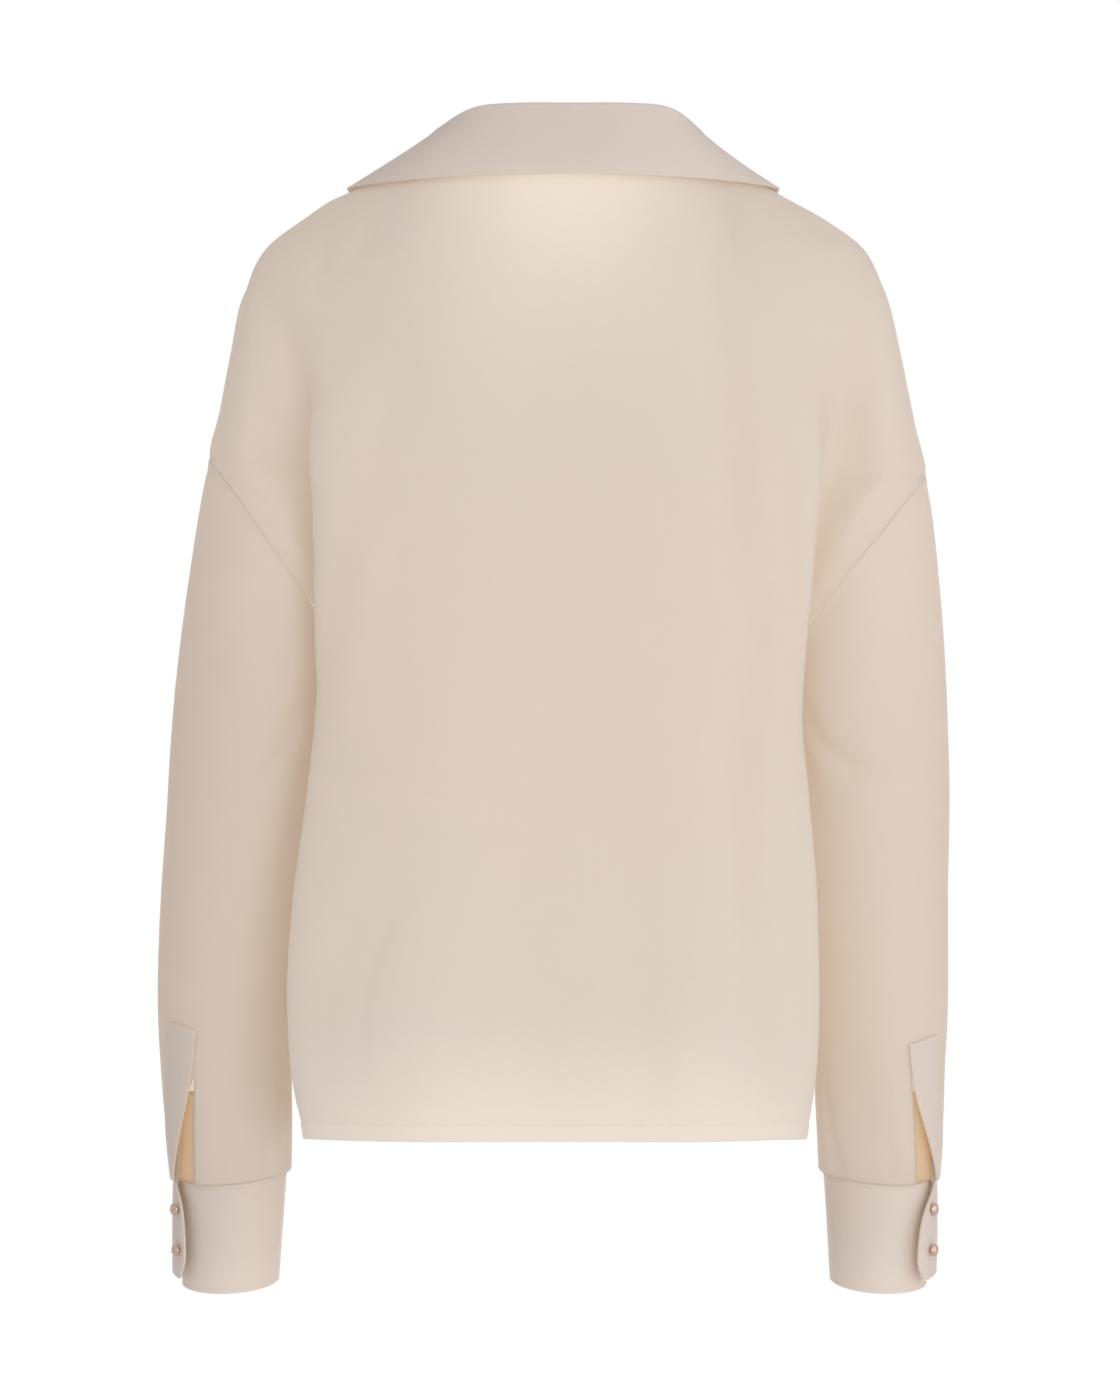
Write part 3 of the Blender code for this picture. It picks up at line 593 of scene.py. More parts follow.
def sleeve_cloth(side_name, side):
    """The sleeve's points with its slit, folds and the proud edge along the armhole seam."""
    around = np.linspace(SLIT_TURN, SLIT_TURN + 360, SLEEVE_AROUND + 1)
    rows = np.array(SLEEVE_SECTIONS, float)
    even = np.linspace(SEAM_PLACES[-1], len(rows) - 1, SLEEVE_ROWS - len(SEAM_PLACES) + 1)
    places = np.concatenate([SEAM_PLACES[:-1], even])
    rings = smooth(np.arange(len(rows)), rows, places)
    heights = np.array([ring(row, np.array([SLIT_TURN]))[0, 2] for row in rings])
    opened = np.clip((-heights - SLIT_TOP) / (CUFF_TOP - SLIT_TOP), 0, 1)
    grid = np.array([ring(row, slit_turns(around, share)) for row, share in zip(rings, opened)])
    grid = sleeve_folded(sided(grid, side), side, SLEEVE_FOLDS[side_name], around)
    from_seam = along(grid, 0) / MM
    proud = SEAM_PROUD * (1 - ramp(from_seam, *SEAM_FADE))
    grid = grid + normals_of(grid, side > 0) * (proud * MM)[..., None]
    closed = opened == 0
    grid[closed, 0] = grid[closed, -1] = (grid[closed, 0] + grid[closed, -1]) / 2
    return grid


# %% [markdown]
# ## Folds of the back and the front
# The back shows one long soft fold from the right shoulder blade to the hem, a broad darker one
# low on the left, and small pulls below the shoulders. The front and the hidden sides are given
# folds of the same kind, since a dropped shoulder pulls the cloth there in the same way.

# %% Panel folds
BACK_FOLDS = (
    (-97, -46, -122, -305, 6, 15, -3.4),
    (-119, -285, -106, -400, -3, 12, -2.6),
    (-107, -385, -131, -622, 4, 13, -3.0),
    (-116, -200, -148, -470, 8, 16, 2.0),
    (-128, -388, -122, -560, 0, 15, 2.0),
    (-98, -22, -150, -134, 7, 9, -1.7),
    (-80, -110, -96, -210, -5, 15, 1.3),
    (-138, -180, -154, -330, 3, 10, -1.6),
    (104, -140, 124, -240, 5, 13, -1.9),
    (122, -232, 132, -380, 5, 15, 1.4),
    (136, -180, 150, -330, -4, 11, -1.8),
    (103, -445, 154, -604, 15, 19, -3.8),
    (103, -470, 131, -578, 8, 6, -1.6),
    (70, -500, 84, -622, 6, 22, 1.5),
    (119, -409, 2, -406, -2, 5, -0.5),
    (149, -48, 154, -86, 2, 7, -1.7),
    (121, -38, 143, -75, -4, 7, -1.6),
    (204, -72, 166, -156, -8, 9, -2.0),
    (186, -88, 176, -170, 3, 10, 1.2),
    (-196, -50, -182, -110, 3, 9, -1.8),
    (-176, -112, -186, -190, 4, 12, -1.3),
    (-208, -128, -196, -196, 3, 10, 1.1),
    (196, -176, 168, -262, 4, 12, -1.2),
    (30, -420, 22, -618, 5, 26, -1.5),
    (-40, -440, -52, -621, -5, 24, -1.6),
    (-70, -510, -78, -622, 3, 16, 1.2),
    (-8, -330, -14, -600, 6, 30, 1.0),
    (52, -60, 46, -330, 8, 32, 1.0),
    (-34, -90, -30, -380, -8, 34, 1.0),
    (139, -14, 155, -30, 0, 7, 1.8),
)
FRONT_FOLDS = (
    (62, -160, 84, -420, 10, 15, -3.0),
    (-58, -168, -76, -440, -9, 16, -3.2),
    (88, -395, 96, -622, 5, 14, -2.8),
    (-80, -420, -92, -622, -6, 15, -3.0),
    (6, -186, 20, -470, 8, 16, -2.6),
    (-4, -240, -22, -560, -7, 18, 2.0),
    (30, -420, 38, -622, 5, 17, 2.2),
    (-48, -500, -44, -622, 3, 13, -2.2),
    (118, -100, 140, -240, -9, 12, -2.2),
    (-120, -108, -142, -252, 8, 12, -2.2),
    (104, -260, 126, -420, 6, 13, 1.6),
    (-108, -262, -128, -440, -6, 13, 1.6),
    (150, -60, 158, -112, 4, 8, -1.7),
    (-146, -64, -160, -118, -4, 8, -1.7),
    (198, -84, 178, -168, -6, 10, -1.8),
    (-200, -90, -182, -176, 6, 10, -1.8),
    (56, -560, 60, -622, 2, 9, -1.6),
    (-10, -575, -14, -622, 2, 9, -1.4),
    (139, -14, 155, -30, 0, 7, 1.8),
)
HEM_STITCH = 11.0
HEM_PROUD = 0.5
HEM_BAND = (HEM_STITCH + 0.4, HEM_STITCH - 1.2)
HEM_GROOVE = (0.35, 1.1)


def hemmed(points, outward):
    """The turned hem: a slightly thicker band below its line of stitches."""
    down = along(points, 0) / MM
    from_edge = down[-1] - down
    band = HEM_PROUD * ramp(from_edge, *HEM_BAND)
    pulled = groove(from_edge - HEM_STITCH, *HEM_GROOVE)
    return points + normals_of(points, outward) * ((band - pulled) * MM)[..., None]


# %% Cut the panels
back_half = half_panel(BACK_COLUMNS, BACK_SECTIONS, BACK_FALLS, 1)
front_half = half_panel(FRONT_COLUMNS, FRONT_SECTIONS, FRONT_FALLS, -1)
back_grid = closed_middle(hemmed(folded(panel_points(back_half), True, BACK_FOLDS), True))
front_grid = closed_middle(hemmed(folded(panel_points(front_half), False, FRONT_FOLDS), False))
seam_column = back_half.shape[1] - 1
back = cloth("silk_back", back_grid, True)
front = cloth("silk_front", front_grid, False, split=seam_column)

# %% Set in the sleeves
sleeve_grids = {name: sleeve_cloth(name, side) for name, side in SIDES.items()}
sleeves = {
    name: cloth(f"silk_sleeve_{name}", grid, SIDES[name] > 0)
    for name, grid in sleeve_grids.items()
}

# %% [markdown]
# ## The collar
# A collar is one doubled strip: it stands up from the neck seam, folds over and falls outwards.
# Each section is drawn from three places, the seam, the fold and the edge, and is laid on the
# panels with Blender's nearest-point search, so it rests on the shoulders and never sinks in.

# %% Collar sections
COLLAR_COLUMNS = ("along", "fold_x", "fold_y", "fold_z", "edge_x", "edge_y", "edge_z", "rest")
COLLAR_SECTIONS = (
    (0.00, 0, 51, 34, 0, 60, -10, 3.0),
    (0.10, 34, 49, 34, 44, 59, -10, 3.0),
    (0.19, 60, 40, 32, 84, 50, -11, 2.6),
    (0.26, 76, 23, 23, 114, 33, -13, 2.6),
    (0.313, 86, 1, 12, 135, 4, -19, 2.4),
    (0.42, 77, -31, -10, 128, -26, -34, 2.4),
    (0.58, 57, -70, -49, 106, -62, -76, 2.2),
    (0.76, 36, -104, -100, 82, -98, -126, 2.2),
    (0.88, 19, -117, -137, 70, -108, -146, 2.2),
    (0.985, 4, -127, -171, 58, -118, -162, 2.2),
)
COLLAR_WALL = 1.4 * MM
COLLAR_COUNT = 140
COLLAR_FOLD_RADIUS = 2.8 * MM
COLLAR_BULGE = 0.8 * MM
COLLAR_CLEAR = 1.9 * MM
STAND_STOPS = (0.15, 0.4, 0.7)
FALL_STOPS = (0.06, 0.14, 0.24, 0.34, 0.44, 0.54, 0.64, 0.73, 0.81)
EDGE_STOPS = (5.0, 3.6, 2.9, 2.4, 1.9, 1.2, 0.5, 0.0)
EDGE_STITCH = 2.4
GROOVE_DEPTH = 0.3
GROOVE_WIDTH = 0.7
DOUBLED_ROUND = 0.4 * MM
FOLD_TURNS = 11
TANGENT_PASSES = 3


def mean_panel(half):
    """Both halves of the mean shape, for the collar to lie on."""
    return np.concatenate([half, half[:, ::-1] * (-1, 1, 1)], axis=1)


def surface_tree(grids):
    """A search tree of outer surfaces."""
    trees = []
    for grid, outward, split in grids:
        sheet = grid_bmesh(grid, outward, split)
        sheet.normal_update()
        trees.append(BVHTree.FromBMesh(sheet))
        sheet.free()
    return trees


def nearest(trees, point):
    """The nearest place of several surfaces, with its normal."""
    found = [tree.find_nearest(Vector(point)) for tree in trees]
    return min(found, key=lambda hit: hit[3])[:2]


def cleared(point, least, trees):
    """The point, moved out where it is nearer to the cloth than the least distance."""
    place, normal = nearest(trees, point)
    height = (Vector(point) - place).dot(normal)
    if height < least:
        return np.array(Vector(point) + normal * (least - height))
    return np.array(point)


def collar_section(seam, fold, outer, tangent, rest, trees):
    """One section of the collar, from the neck seam over the fold to the resting edge."""
    up = (fold - seam) / np.linalg.norm(fold - seam)
    out = np.cross(tangent, up)
    out /= np.linalg.norm(out)
    out = out if out @ (outer - seam) > 0 else -out
    centre = fold - up * COLLAR_FOLD_RADIUS
    inside = centre - out * COLLAR_FOLD_RADIUS
    section = [seam]
    section += [seam + (inside - seam) * t for t in STAND_STOPS]
    for radians in np.radians(np.linspace(0, 180, FOLD_TURNS)):
        turned = up * math.sin(radians) - out * math.cos(radians)
        section.append(centre + COLLAR_FOLD_RADIUS * turned)
    start = section[-1]
    place, normal = nearest(trees, outer)
    finish = np.array(place + normal * (rest + COLLAR_WALL))
    length = np.linalg.norm(finish - start) / MM
    for t in FALL_STOPS + tuple(1 - stop / length for stop in EDGE_STOPS):
        pulled = groove((1 - t) * length - EDGE_STITCH, GROOVE_DEPTH * MM, GROOVE_WIDTH)
        bulge = COLLAR_BULGE * math.sin(math.pi * t) - pulled
        section.append(cleared(start + (finish - start) * t + out * bulge, COLLAR_CLEAR, trees))
    return section


def collar_points(back_half, front_half):
    """The collar's outer surface from the right point of the V, round the neck, to the left."""
    trees = surface_tree([
        (mean_panel(back_half), True, None),
        (mean_panel(front_half), False, seam_column),
    ])
    edge = np.vstack([back_half[0][::-1], front_half[1 : apex_row() + 1, -1]])
    lengths = np.concatenate([[0], np.cumsum(np.linalg.norm(np.diff(edge, axis=0), axis=1))])
    table = np.array(COLLAR_SECTIONS, float)
    places = np.linspace(0, len(table) - 1, COLLAR_COUNT)
    named = columns(COLLAR_COLUMNS, smooth(np.arange(len(table)), table, places))
    reached = [np.interp(named["along"], lengths / lengths[-1], edge[:, k]) for k in range(3)]
    seams = np.stack(reached, axis=-1)
    folds, edges = [
        np.stack([named[f"{line}_{axis}"] for axis in "xyz"], axis=-1) * MM
        for line in ("fold", "edge")
    ]
    tangents = np.gradient(seams, axis=0)
    for _ in range(TANGENT_PASSES):
        tangents[1:-1] = (tangents[:-2] + tangents[1:-1] * 2 + tangents[2:]) / 4
    tangents[0] = (1, 0, 0)
    half = np.array([
        collar_section(seam, fold, outer, tangent, rest * MM, trees)
        for seam, fold, outer, tangent, rest in zip(seams, folds, edges, tangents, named["rest"])
    ])
    return leaned(np.vstack([half[:0:-1] * (-1, 1, 1), half]))


# %% Fold the collar
collar_grid = collar_points(back_half, front_half)
collar = cloth("silk_collar", collar_grid, True, wall=COLLAR_WALL, rounded=DOUBLED_ROUND)
print("collar along the neck:", round(float(along(collar_grid, 0)[-1, 0]), 3))

# %% [markdown]
# ## Cuffs
# A cuff is a doubled strap wrapped once round the wrist. Its under end lies on the skin, and its
# over end comes round from the front, crosses the outer side and stands a little proud there,
# where the two buttons hold it.

# %% Cuffs
CUFF_COLUMNS = ("height", "outer_x", "inner_x", "middle_y", "half_depth", "rise")
CUFF_SECTIONS = (
    (-652, 240.5, 169.5, -62, 40, 14),
    (-686, 239.5, 171.5, -64.5, 38.5, 14),
    (-720, 238.5, 173.5, -68, 37, 14),
)
CUFF_CANT = 3.0
CUFF_UNDER_END = -20.0
TAB_COLUMNS = ("height", "left_turn", "right_turn")
TAB_EDGE = (
    (-652, 379, 377),
    (-658, 387, 386),
    (-665, 394, 396),
    (-676, 399, 405),
    (-692, 402, 410),
    (-708, 402, 411),
    (-720, 394, 404),
)
LIFT_COLUMNS = ("turn", "lift", "drawn_up", "flare")
CUFF_LIFT = (
    (-20, 0, 0, 0),
    (270, 0, 1, 0),
    (325, 2.6, 6, 1.4),
    (360, 3.4, 9, 2.6),
    (411, 5.5, 5.5, 4),
)
CUFF_HIGH = 68
CUFF_WALL = 1.5 * MM
CUFF_AROUND = 150
CUFF_STITCHES = (2.1, 65.9)
CUFF_STOPS = (
    0, 0.7, 1.5, 2.1, 2.8, 4, 7, 10, 13, 17, 21, 25, 30, 36, 42, 48, 54, 59, 63, 65.2, 65.9,
    66.5, 67.3, CUFF_HIGH,
)
TAB_LIP = (1.6, 0.8, 0)


def cuff_points(side):
    """The cuff's outer surface, from its under end to the free edge of its over end."""
    table = np.array(CUFF_SECTIONS, float)
    down = -columns(CUFF_COLUMNS, CUFF_SECTIONS)["height"]
    tab = columns(TAB_COLUMNS, TAB_EDGE)
    tab_turn = tab["left_turn" if side > 0 else "right_turn"]
    lift_table = columns(LIFT_COLUMNS, CUFF_LIFT)
    grid = []
    for stop in CUFF_STOPS:
        row = smooth(down, table, [down[0] + stop])[0]
        height, outer_x, inner_x, middle_y, half_depth, rise = row
        end = smooth(-tab["height"], tab_turn, [-height])[0]
        turns = np.linspace(CUFF_UNDER_END, end, CUFF_AROUND)
        turns = np.concatenate([turns[:-1], end - np.array(TAB_LIP)])
        tilted = (outer_x, height - CUFF_CANT, inner_x, height + CUFF_CANT)
        level = np.array([*tilted, middle_y, half_depth, rise])
        flat = ring(level, turns)
        share = stop / CUFF_HIGH
        lift, drawn_up, flare = [
            smooth(lift_table["turn"], lift_table[name], turns) for name in LIFT_COLUMNS[1:]
        ]
        lift += flare * math.sqrt(share)
        flat[:, 2] += drawn_up * share * MM
        out = np.stack([np.cos(np.radians(turns)), np.sin(np.radians(turns)), 0 * turns], axis=-1)
        pulled = sum(groove(stop - line, GROOVE_DEPTH, GROOVE_WIDTH) for line in CUFF_STITCHES)
        grid.append(flat + out * ((lift - pulled)[:, None] * MM))
    return sided(np.array(grid), side)


cuff_grids = {name: cuff_points(side) for name, side in SIDES.items()}
cuffs = {
    name: cloth(f"silk_cuff_{name}", grid, SIDES[name] > 0, wall=CUFF_WALL, rounded=DOUBLED_ROUND)
    for name, grid in cuff_grids.items()
}

# %% [markdown]
# ## Sleeve plackets
# The slit above the cuff is finished by a strip sewn over it, flat in a small stitched box at the
# top and standing free below, and by a narrow binding on the edge that lies under. Both are made
# from places on the sleeve, moved straight out or in, so they follow its curve.

# %% Plackets
PLACKET_COLUMNS = ("height", "near_turn", "far_turn", "near_lift", "far_lift", "slant")
PLACKET_SECTIONS = (
    (-548, 36, 66, 0.6, 0.6, 5),
    (-566, 32, 63, 0.6, 0.6, 4.5),
    (-583, 28, 59, 0.6, 0.8, 3.5),
    (-603, 22, 52, 0.6, 2.0, 2),
    (-628, 14, 40, 0.6, 3.0, 1),
    (-651, 8, 26, 0.8, 3.0, 0),
)
PLACKET_DROP_COLUMNS = ("height", "drop")
RIGHT_PLACKET_DROP = ((-651, 0), (-603, 7), (-583, 9), (-548, 9))
UNDERLAP_COLUMNS = ("height", "near_turn", "far_turn")
UNDERLAP_SECTIONS = (
    (-592, 52, 60),
    (-612, 38, 58),
    (-633, 26, 55),
    (-651, 20, 53),
)
UNDERLAP_DEPTH = 1.9
PLACKET_WALL = 1.3 * MM
PLACKET_ROUND = 0.3 * MM
PLACKET_CURVE = 1.5
PLACKET_ROWS = 40
PLACKET_BOX_ROWS = (1, 13)
UNDERLAP_ROWS = 20
UNDERLAP_ACROSS = 9
PLACKET_ACROSS = (0, 0.05, 0.1, 0.16, 0.26, 0.38, 0.5, 0.62, 0.74, 0.84, 0.9, 0.95, 1)


def sleeve_place(height, turn, lift):
    """A point of the sleeve at a height and a turn, moved straight out of its surface."""
    rows = np.array(SLEEVE_SECTIONS, float)
    sleeve = columns(SLEEVE_COLUMNS, SLEEVE_SECTIONS)
    middle_z = (sleeve["outer_z"] + sleeve["inner_z"]) / 2
    level = smooth(-middle_z, rows, [-height])[0]
    out = np.array([math.cos(math.radians(turn)), math.sin(math.radians(turn)), 0])
    return ring(level, np.array([turn]))[0] + out * lift * MM


def placket_points(side):
    """The placket strip over the slit: flat in its box, then standing off to its free edge."""
    table = np.array(PLACKET_SECTIONS, float)
    down = -columns(PLACKET_COLUMNS, PLACKET_SECTIONS)["height"]
    lower = columns(PLACKET_DROP_COLUMNS, RIGHT_PLACKET_DROP)
    across = np.array(PLACKET_ACROSS)
    grid = []
    for row in smooth(down, table, np.linspace(down[0], down[-1], PLACKET_ROWS)):
        height, near, far, near_lift, far_lift, slant = row
        drop = np.interp(height, lower["height"], lower["drop"]) if side < 0 else 0
        lift = PLACKET_WALL / MM + near_lift + (far_lift - near_lift) * across**PLACKET_CURVE
        grid.append([
            sleeve_place(height - drop - slant * t, near + (far - near) * t, up)
            for t, up in zip(across, lift)
        ])
    return sided(np.array(grid), side)


def underlap_points(side):
    """The binding on the back edge of the slit, which passes under the placket."""
    table = np.array(UNDERLAP_SECTIONS, float)
    down = -columns(UNDERLAP_COLUMNS, UNDERLAP_SECTIONS)["height"]
    grid = []
    for height, near, far in smooth(down, table, np.linspace(down[0], down[-1], UNDERLAP_ROWS)):
        turns = near + (far - near) * np.linspace(0, 1, UNDERLAP_ACROSS)
        grid.append([sleeve_place(height, turn, -UNDERLAP_DEPTH) for turn in turns])
    return sided(np.array(grid), side)


placket_grids = {name: placket_points(side) for name, side in SIDES.items()}
plackets = {
    name: cloth(
        f"silk_placket_{name}", grid, SIDES[name] > 0, wall=PLACKET_WALL, rounded=PLACKET_ROUND
    )
    for name, grid in placket_grids.items()
}
underlap_grids = {name: underlap_points(side) for name, side in SIDES.items()}
underlaps = {
    name: cloth(f"silk_underlap_{name}", grid, SIDES[name] > 0)
    for name, grid in underlap_grids.items()
}

# %% [markdown]
# ## Buttons
# Each cuff closes with two small domed metal buttons on shanks. A button is turned work, so its
# profile is drawn once with a few points and spun round its own axis with `spin`. The four
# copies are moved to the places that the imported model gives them.

# %% Turn a button
BUTTON_RADIUS = 4.0 * MM
BUTTON_TURN = math.radians(34)
BUTTON_MIDDLE = 0.56
BUTTON_STEPS = 40
BUTTON_MERGE = 0.005 * MM
BUTTON_PROFILE = (
    (0, 1.12), (0.2, 1.115), (0.4, 1.09), (0.58, 1.04), (0.72, 0.975), (0.82, 0.9), (0.86, 0.86),
    (0.9, 0.865), (0.95, 0.84), (0.99, 0.77), (1.0, 0.68), (0.98, 0.58), (0.92, 0.5), (0.8, 0.45),
    (0.45, 0.4), (0.38, 0.34), (0.36, 0.1), (0.36, 0), (0, 0),
)


def button(name, node, side):
    """A turned button in the place of its node, its dome outwards."""
    low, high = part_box(node)
    turned = bmesh.new()
    points = [
        turned.verts.new((out * BUTTON_RADIUS, 0, up * BUTTON_RADIUS)) for out, up in BUTTON_PROFILE
    ]
    lines = [turned.edges.new(pair) for pair in zip(points, points[1:])]
    bmesh.ops.spin(
        turned, geom=points + lines, axis=(0, 0, 1), cent=(0, 0, 0), dvec=(0, 0, 0),
        angle=math.tau, steps=BUTTON_STEPS, use_merge=True, use_normal_flip=False,
        use_duplicate=False,
    )
    bmesh.ops.remove_doubles(turned, verts=turned.verts, dist=BUTTON_MERGE)
    bmesh.ops.recalc_face_normals(turned, faces=turned.faces)
    out = Vector((math.cos(BUTTON_TURN) * side, math.sin(BUTTON_TURN), 0))
    middle = (Vector(low) + Vector(high)) / 2 - out * BUTTON_MIDDLE * BUTTON_RADIUS
    turn = out.to_track_quat("Z", "Y").to_matrix()
    bmesh.ops.rotate(turned, verts=turned.verts, cent=(0, 0, 0), matrix=turn)
    bmesh.ops.translate(turned, verts=turned.verts, vec=middle)
    return finished(name, turned)


button_names = [f"{side_name}_{place}" for side_name in SIDES for place in ("upper", "lower")]
buttons = {
    name: button(f"metal_button_{name}", f"button_{name}", SIDES[name.split("_")[0]])
    for name in button_names
}

# %% [markdown]
# ## Stitches
# Sewn silk is held by fine thread, and the small bright bars of its stitches tell the eye how big
# the garment is. Every seam line is walked at the length of one stitch, and a tiny icosphere,
# stretched along the line, is left at each step. One mesh holds all the stitches of a seam.

# %% Sewing
STITCH_STEP = 2.6 * MM
STITCH_LENGTH = 1.9 * MM
THREAD_RADIUS = 0.17 * MM
THREAD_UP = 0.3


def walk(path, step):
    """Points at even steps along a path, with the direction at each."""
    lengths = np.concatenate([[0], np.cumsum(np.linalg.norm(np.diff(path[:, :3], axis=0), axis=1))])
    count = max(int(lengths[-1] / step), 1)
    at = (np.arange(count) + 0.5) * lengths[-1] / count
    points = np.stack([np.interp(at, lengths, path[:, k]) for k in range(path.shape[1])], axis=-1)
    return points[:, :3], points[:, 3:]


def stitches(name, lines):
    """A mesh of stitches along lines; each line holds points and the surface's normals."""
    sewn = bmesh.new()
    for points, normals in lines:
        places, ups = walk(np.concatenate([points, normals], axis=-1), STITCH_STEP)
        ahead = np.gradient(places, axis=0)
        for place, up, forward in zip(places, ups, ahead):
            forward = Vector(forward).normalized()
            up = Vector(up).normalized()
            across = up.cross(forward).normalized()
            made = bmesh.ops.create_icosphere(sewn, subdivisions=1, radius=1)["verts"]
            for vert in made:
                along_line, aside, above = vert.co
                vert.co = (
                    Vector(place)
                    + forward * along_line * STITCH_LENGTH / 2
                    + across * aside * THREAD_RADIUS
                    + up * (above + THREAD_UP) * THREAD_RADIUS
                )
    return finished(name, sewn)


def row_line(grid, outward, row):
    """A seam line along a row of a grid, with its normals."""
    return grid[row], normals_of(grid, outward)[row]


def column_line(grid, outward, column):
    """A seam line along a column of a grid, with its normals."""
    return grid[:, column], normals_of(grid, outward)[:, column]


def row_at(grid, from_edge):
    """The row that lies nearest to a distance from the last one."""
    down = along(grid, 0)[:, grid.shape[1] // 4] / MM
    return int(np.argmin(np.abs(down[-1] - down - from_edge)))


hem_lines = [
    row_line(back_grid, True, row_at(back_grid, HEM_STITCH)),
    row_line(front_grid, False, row_at(front_grid, HEM_STITCH)),
]
hem_stitches = stitches("thread_hem", hem_lines)
edge_column = collar_grid.shape[1] - 1 - EDGE_STOPS[::-1].index(EDGE_STITCH)
collar_stitches = stitches("thread_collar", [column_line(collar_grid, True, edge_column)])
sleeve_stitches = {}
for name, side in SIDES.items():
    cuff, placket = cuff_grids[name], placket_grids[name]
    lines = [row_line(cuff, side > 0, CUFF_STOPS.index(stop)) for stop in CUFF_STITCHES]
    lines += [column_line(cuff[3:-3], side > 0, -3)]
    lines += [column_line(placket[1:], side > 0, 1), column_line(placket[1:], side > 0, -2)]
    lines += [row_line(placket[:, 1:-1], side > 0, row) for row in PLACKET_BOX_ROWS]
    sleeve_stitches[name] = stitches(f"thread_sleeve_{name}", lines)

# %% [markdown]
# ## Shader sums as ordinary Python
# A node tree is easier to read as a formula. The small class below wraps a socket, so that
# `1 - mask * 0.5` adds the Math nodes by itself, and one more function adds any other node.

# %% Shader tools
class Number:
    """A number in a node tree, ready for ordinary sums."""

    def __init__(self, tree, socket):
        self.tree = tree
        self.socket = socket

    def combined(self, operation, other, first=True):
        math_node = self.tree.nodes.new("ShaderNodeMath")
        math_node.operation = operation
        for place, value in enumerate((self, other) if first else (other, self)):
            connect(self.tree, math_node.inputs[place], value)
        return Number(self.tree, math_node.outputs[0])

    def __add__(self, other):
        return self.combined("ADD", other)

    def __sub__(self, other):
        return self.combined("SUBTRACT", other)

    def __rsub__(self, other):
        return self.combined("SUBTRACT", other, first=False)

    def __mul__(self, other):
        return self.combined("MULTIPLY", other)

    __radd__ = __add__
    __rmul__ = __mul__

    def sine(self):
        return self.combined("SINE", 0)


def connect(tree, socket, value):
    """A value set on a socket, or a link made to it."""
    if isinstance(value, Number):
        tree.links.new(value.socket, socket)
    elif isinstance(value, bpy.types.NodeSocket):
        tree.links.new(value, socket)
    else:
        socket.default_value = value


def add_node(tree, kind, settings=None, **values):
    """A node of a kind, with its settings made first and then its sockets."""
    made = tree.nodes.new(f"ShaderNode{kind}")
    for setting, value in (settings or {}).items():
        setattr(made, setting, value)
    for name, value in values.items():
        connect(tree, made.inputs[name.replace("_", " ")], value)
    return made


def new_material(name):
    """An empty material with its output, ready for a shader."""
    material = bpy.data.materials.new(name)
    material.use_nodes = True
    tree = material.node_tree
    tree.nodes.clear()
    return material, tree, add_node(tree, "OutputMaterial")


def noise(tree, spot, scale, **values):
    """Cloudy noise of one scale, as a number."""
    return Number(tree, add_node(tree, "TexNoise", Vector=spot, Scale=scale, **values).outputs[0])


def between(tree, share, first, second):
    """A colour between two others, by a share that changes over the surface."""
    tint = add_node(tree, "Mix", {"data_type": "RGBA"})
    connect(tree, tint.inputs["Factor"], share)
    connect(tree, tint.inputs[6], first)
    connect(tree, tint.inputs[7], second)
    return tint.outputs[2]


# %% [markdown]
# ## Ivory silk
# Silk crepe is woven of very fine threads with a grainy twist, so it looks smooth and matt with
# a faint sheen. The weave lives in bump, at its true scale on the cloth's own UV map. Two broad,
# barely different ivories keep the colour from being flat, and a translucent part lets the light
# inside the blouse glow through where the cloth is folded away from us. The collar, cuffs and
# plackets wear a darker, warmer copy, which is painted shade, and the binding under the slit a
# warmer copy with an orange translucent colour, which is a painted warm glow.

# %% Silk material
IVORY = (0.90, 0.855, 0.82, 1)
IVORY_WARM = (0.905, 0.85, 0.80, 1)
THROUGH = (0.95, 0.905, 0.845, 1)
THREADS_PER_METRE = 2600
GRAIN_SCALE = 1300.0
SLUB_SCALE = 55.0
PATCH_SCALE = 5.0
PATCH_SHARE = 0.7
WEAVE_SHARE = 0.35
SEE_THROUGH = 0.68


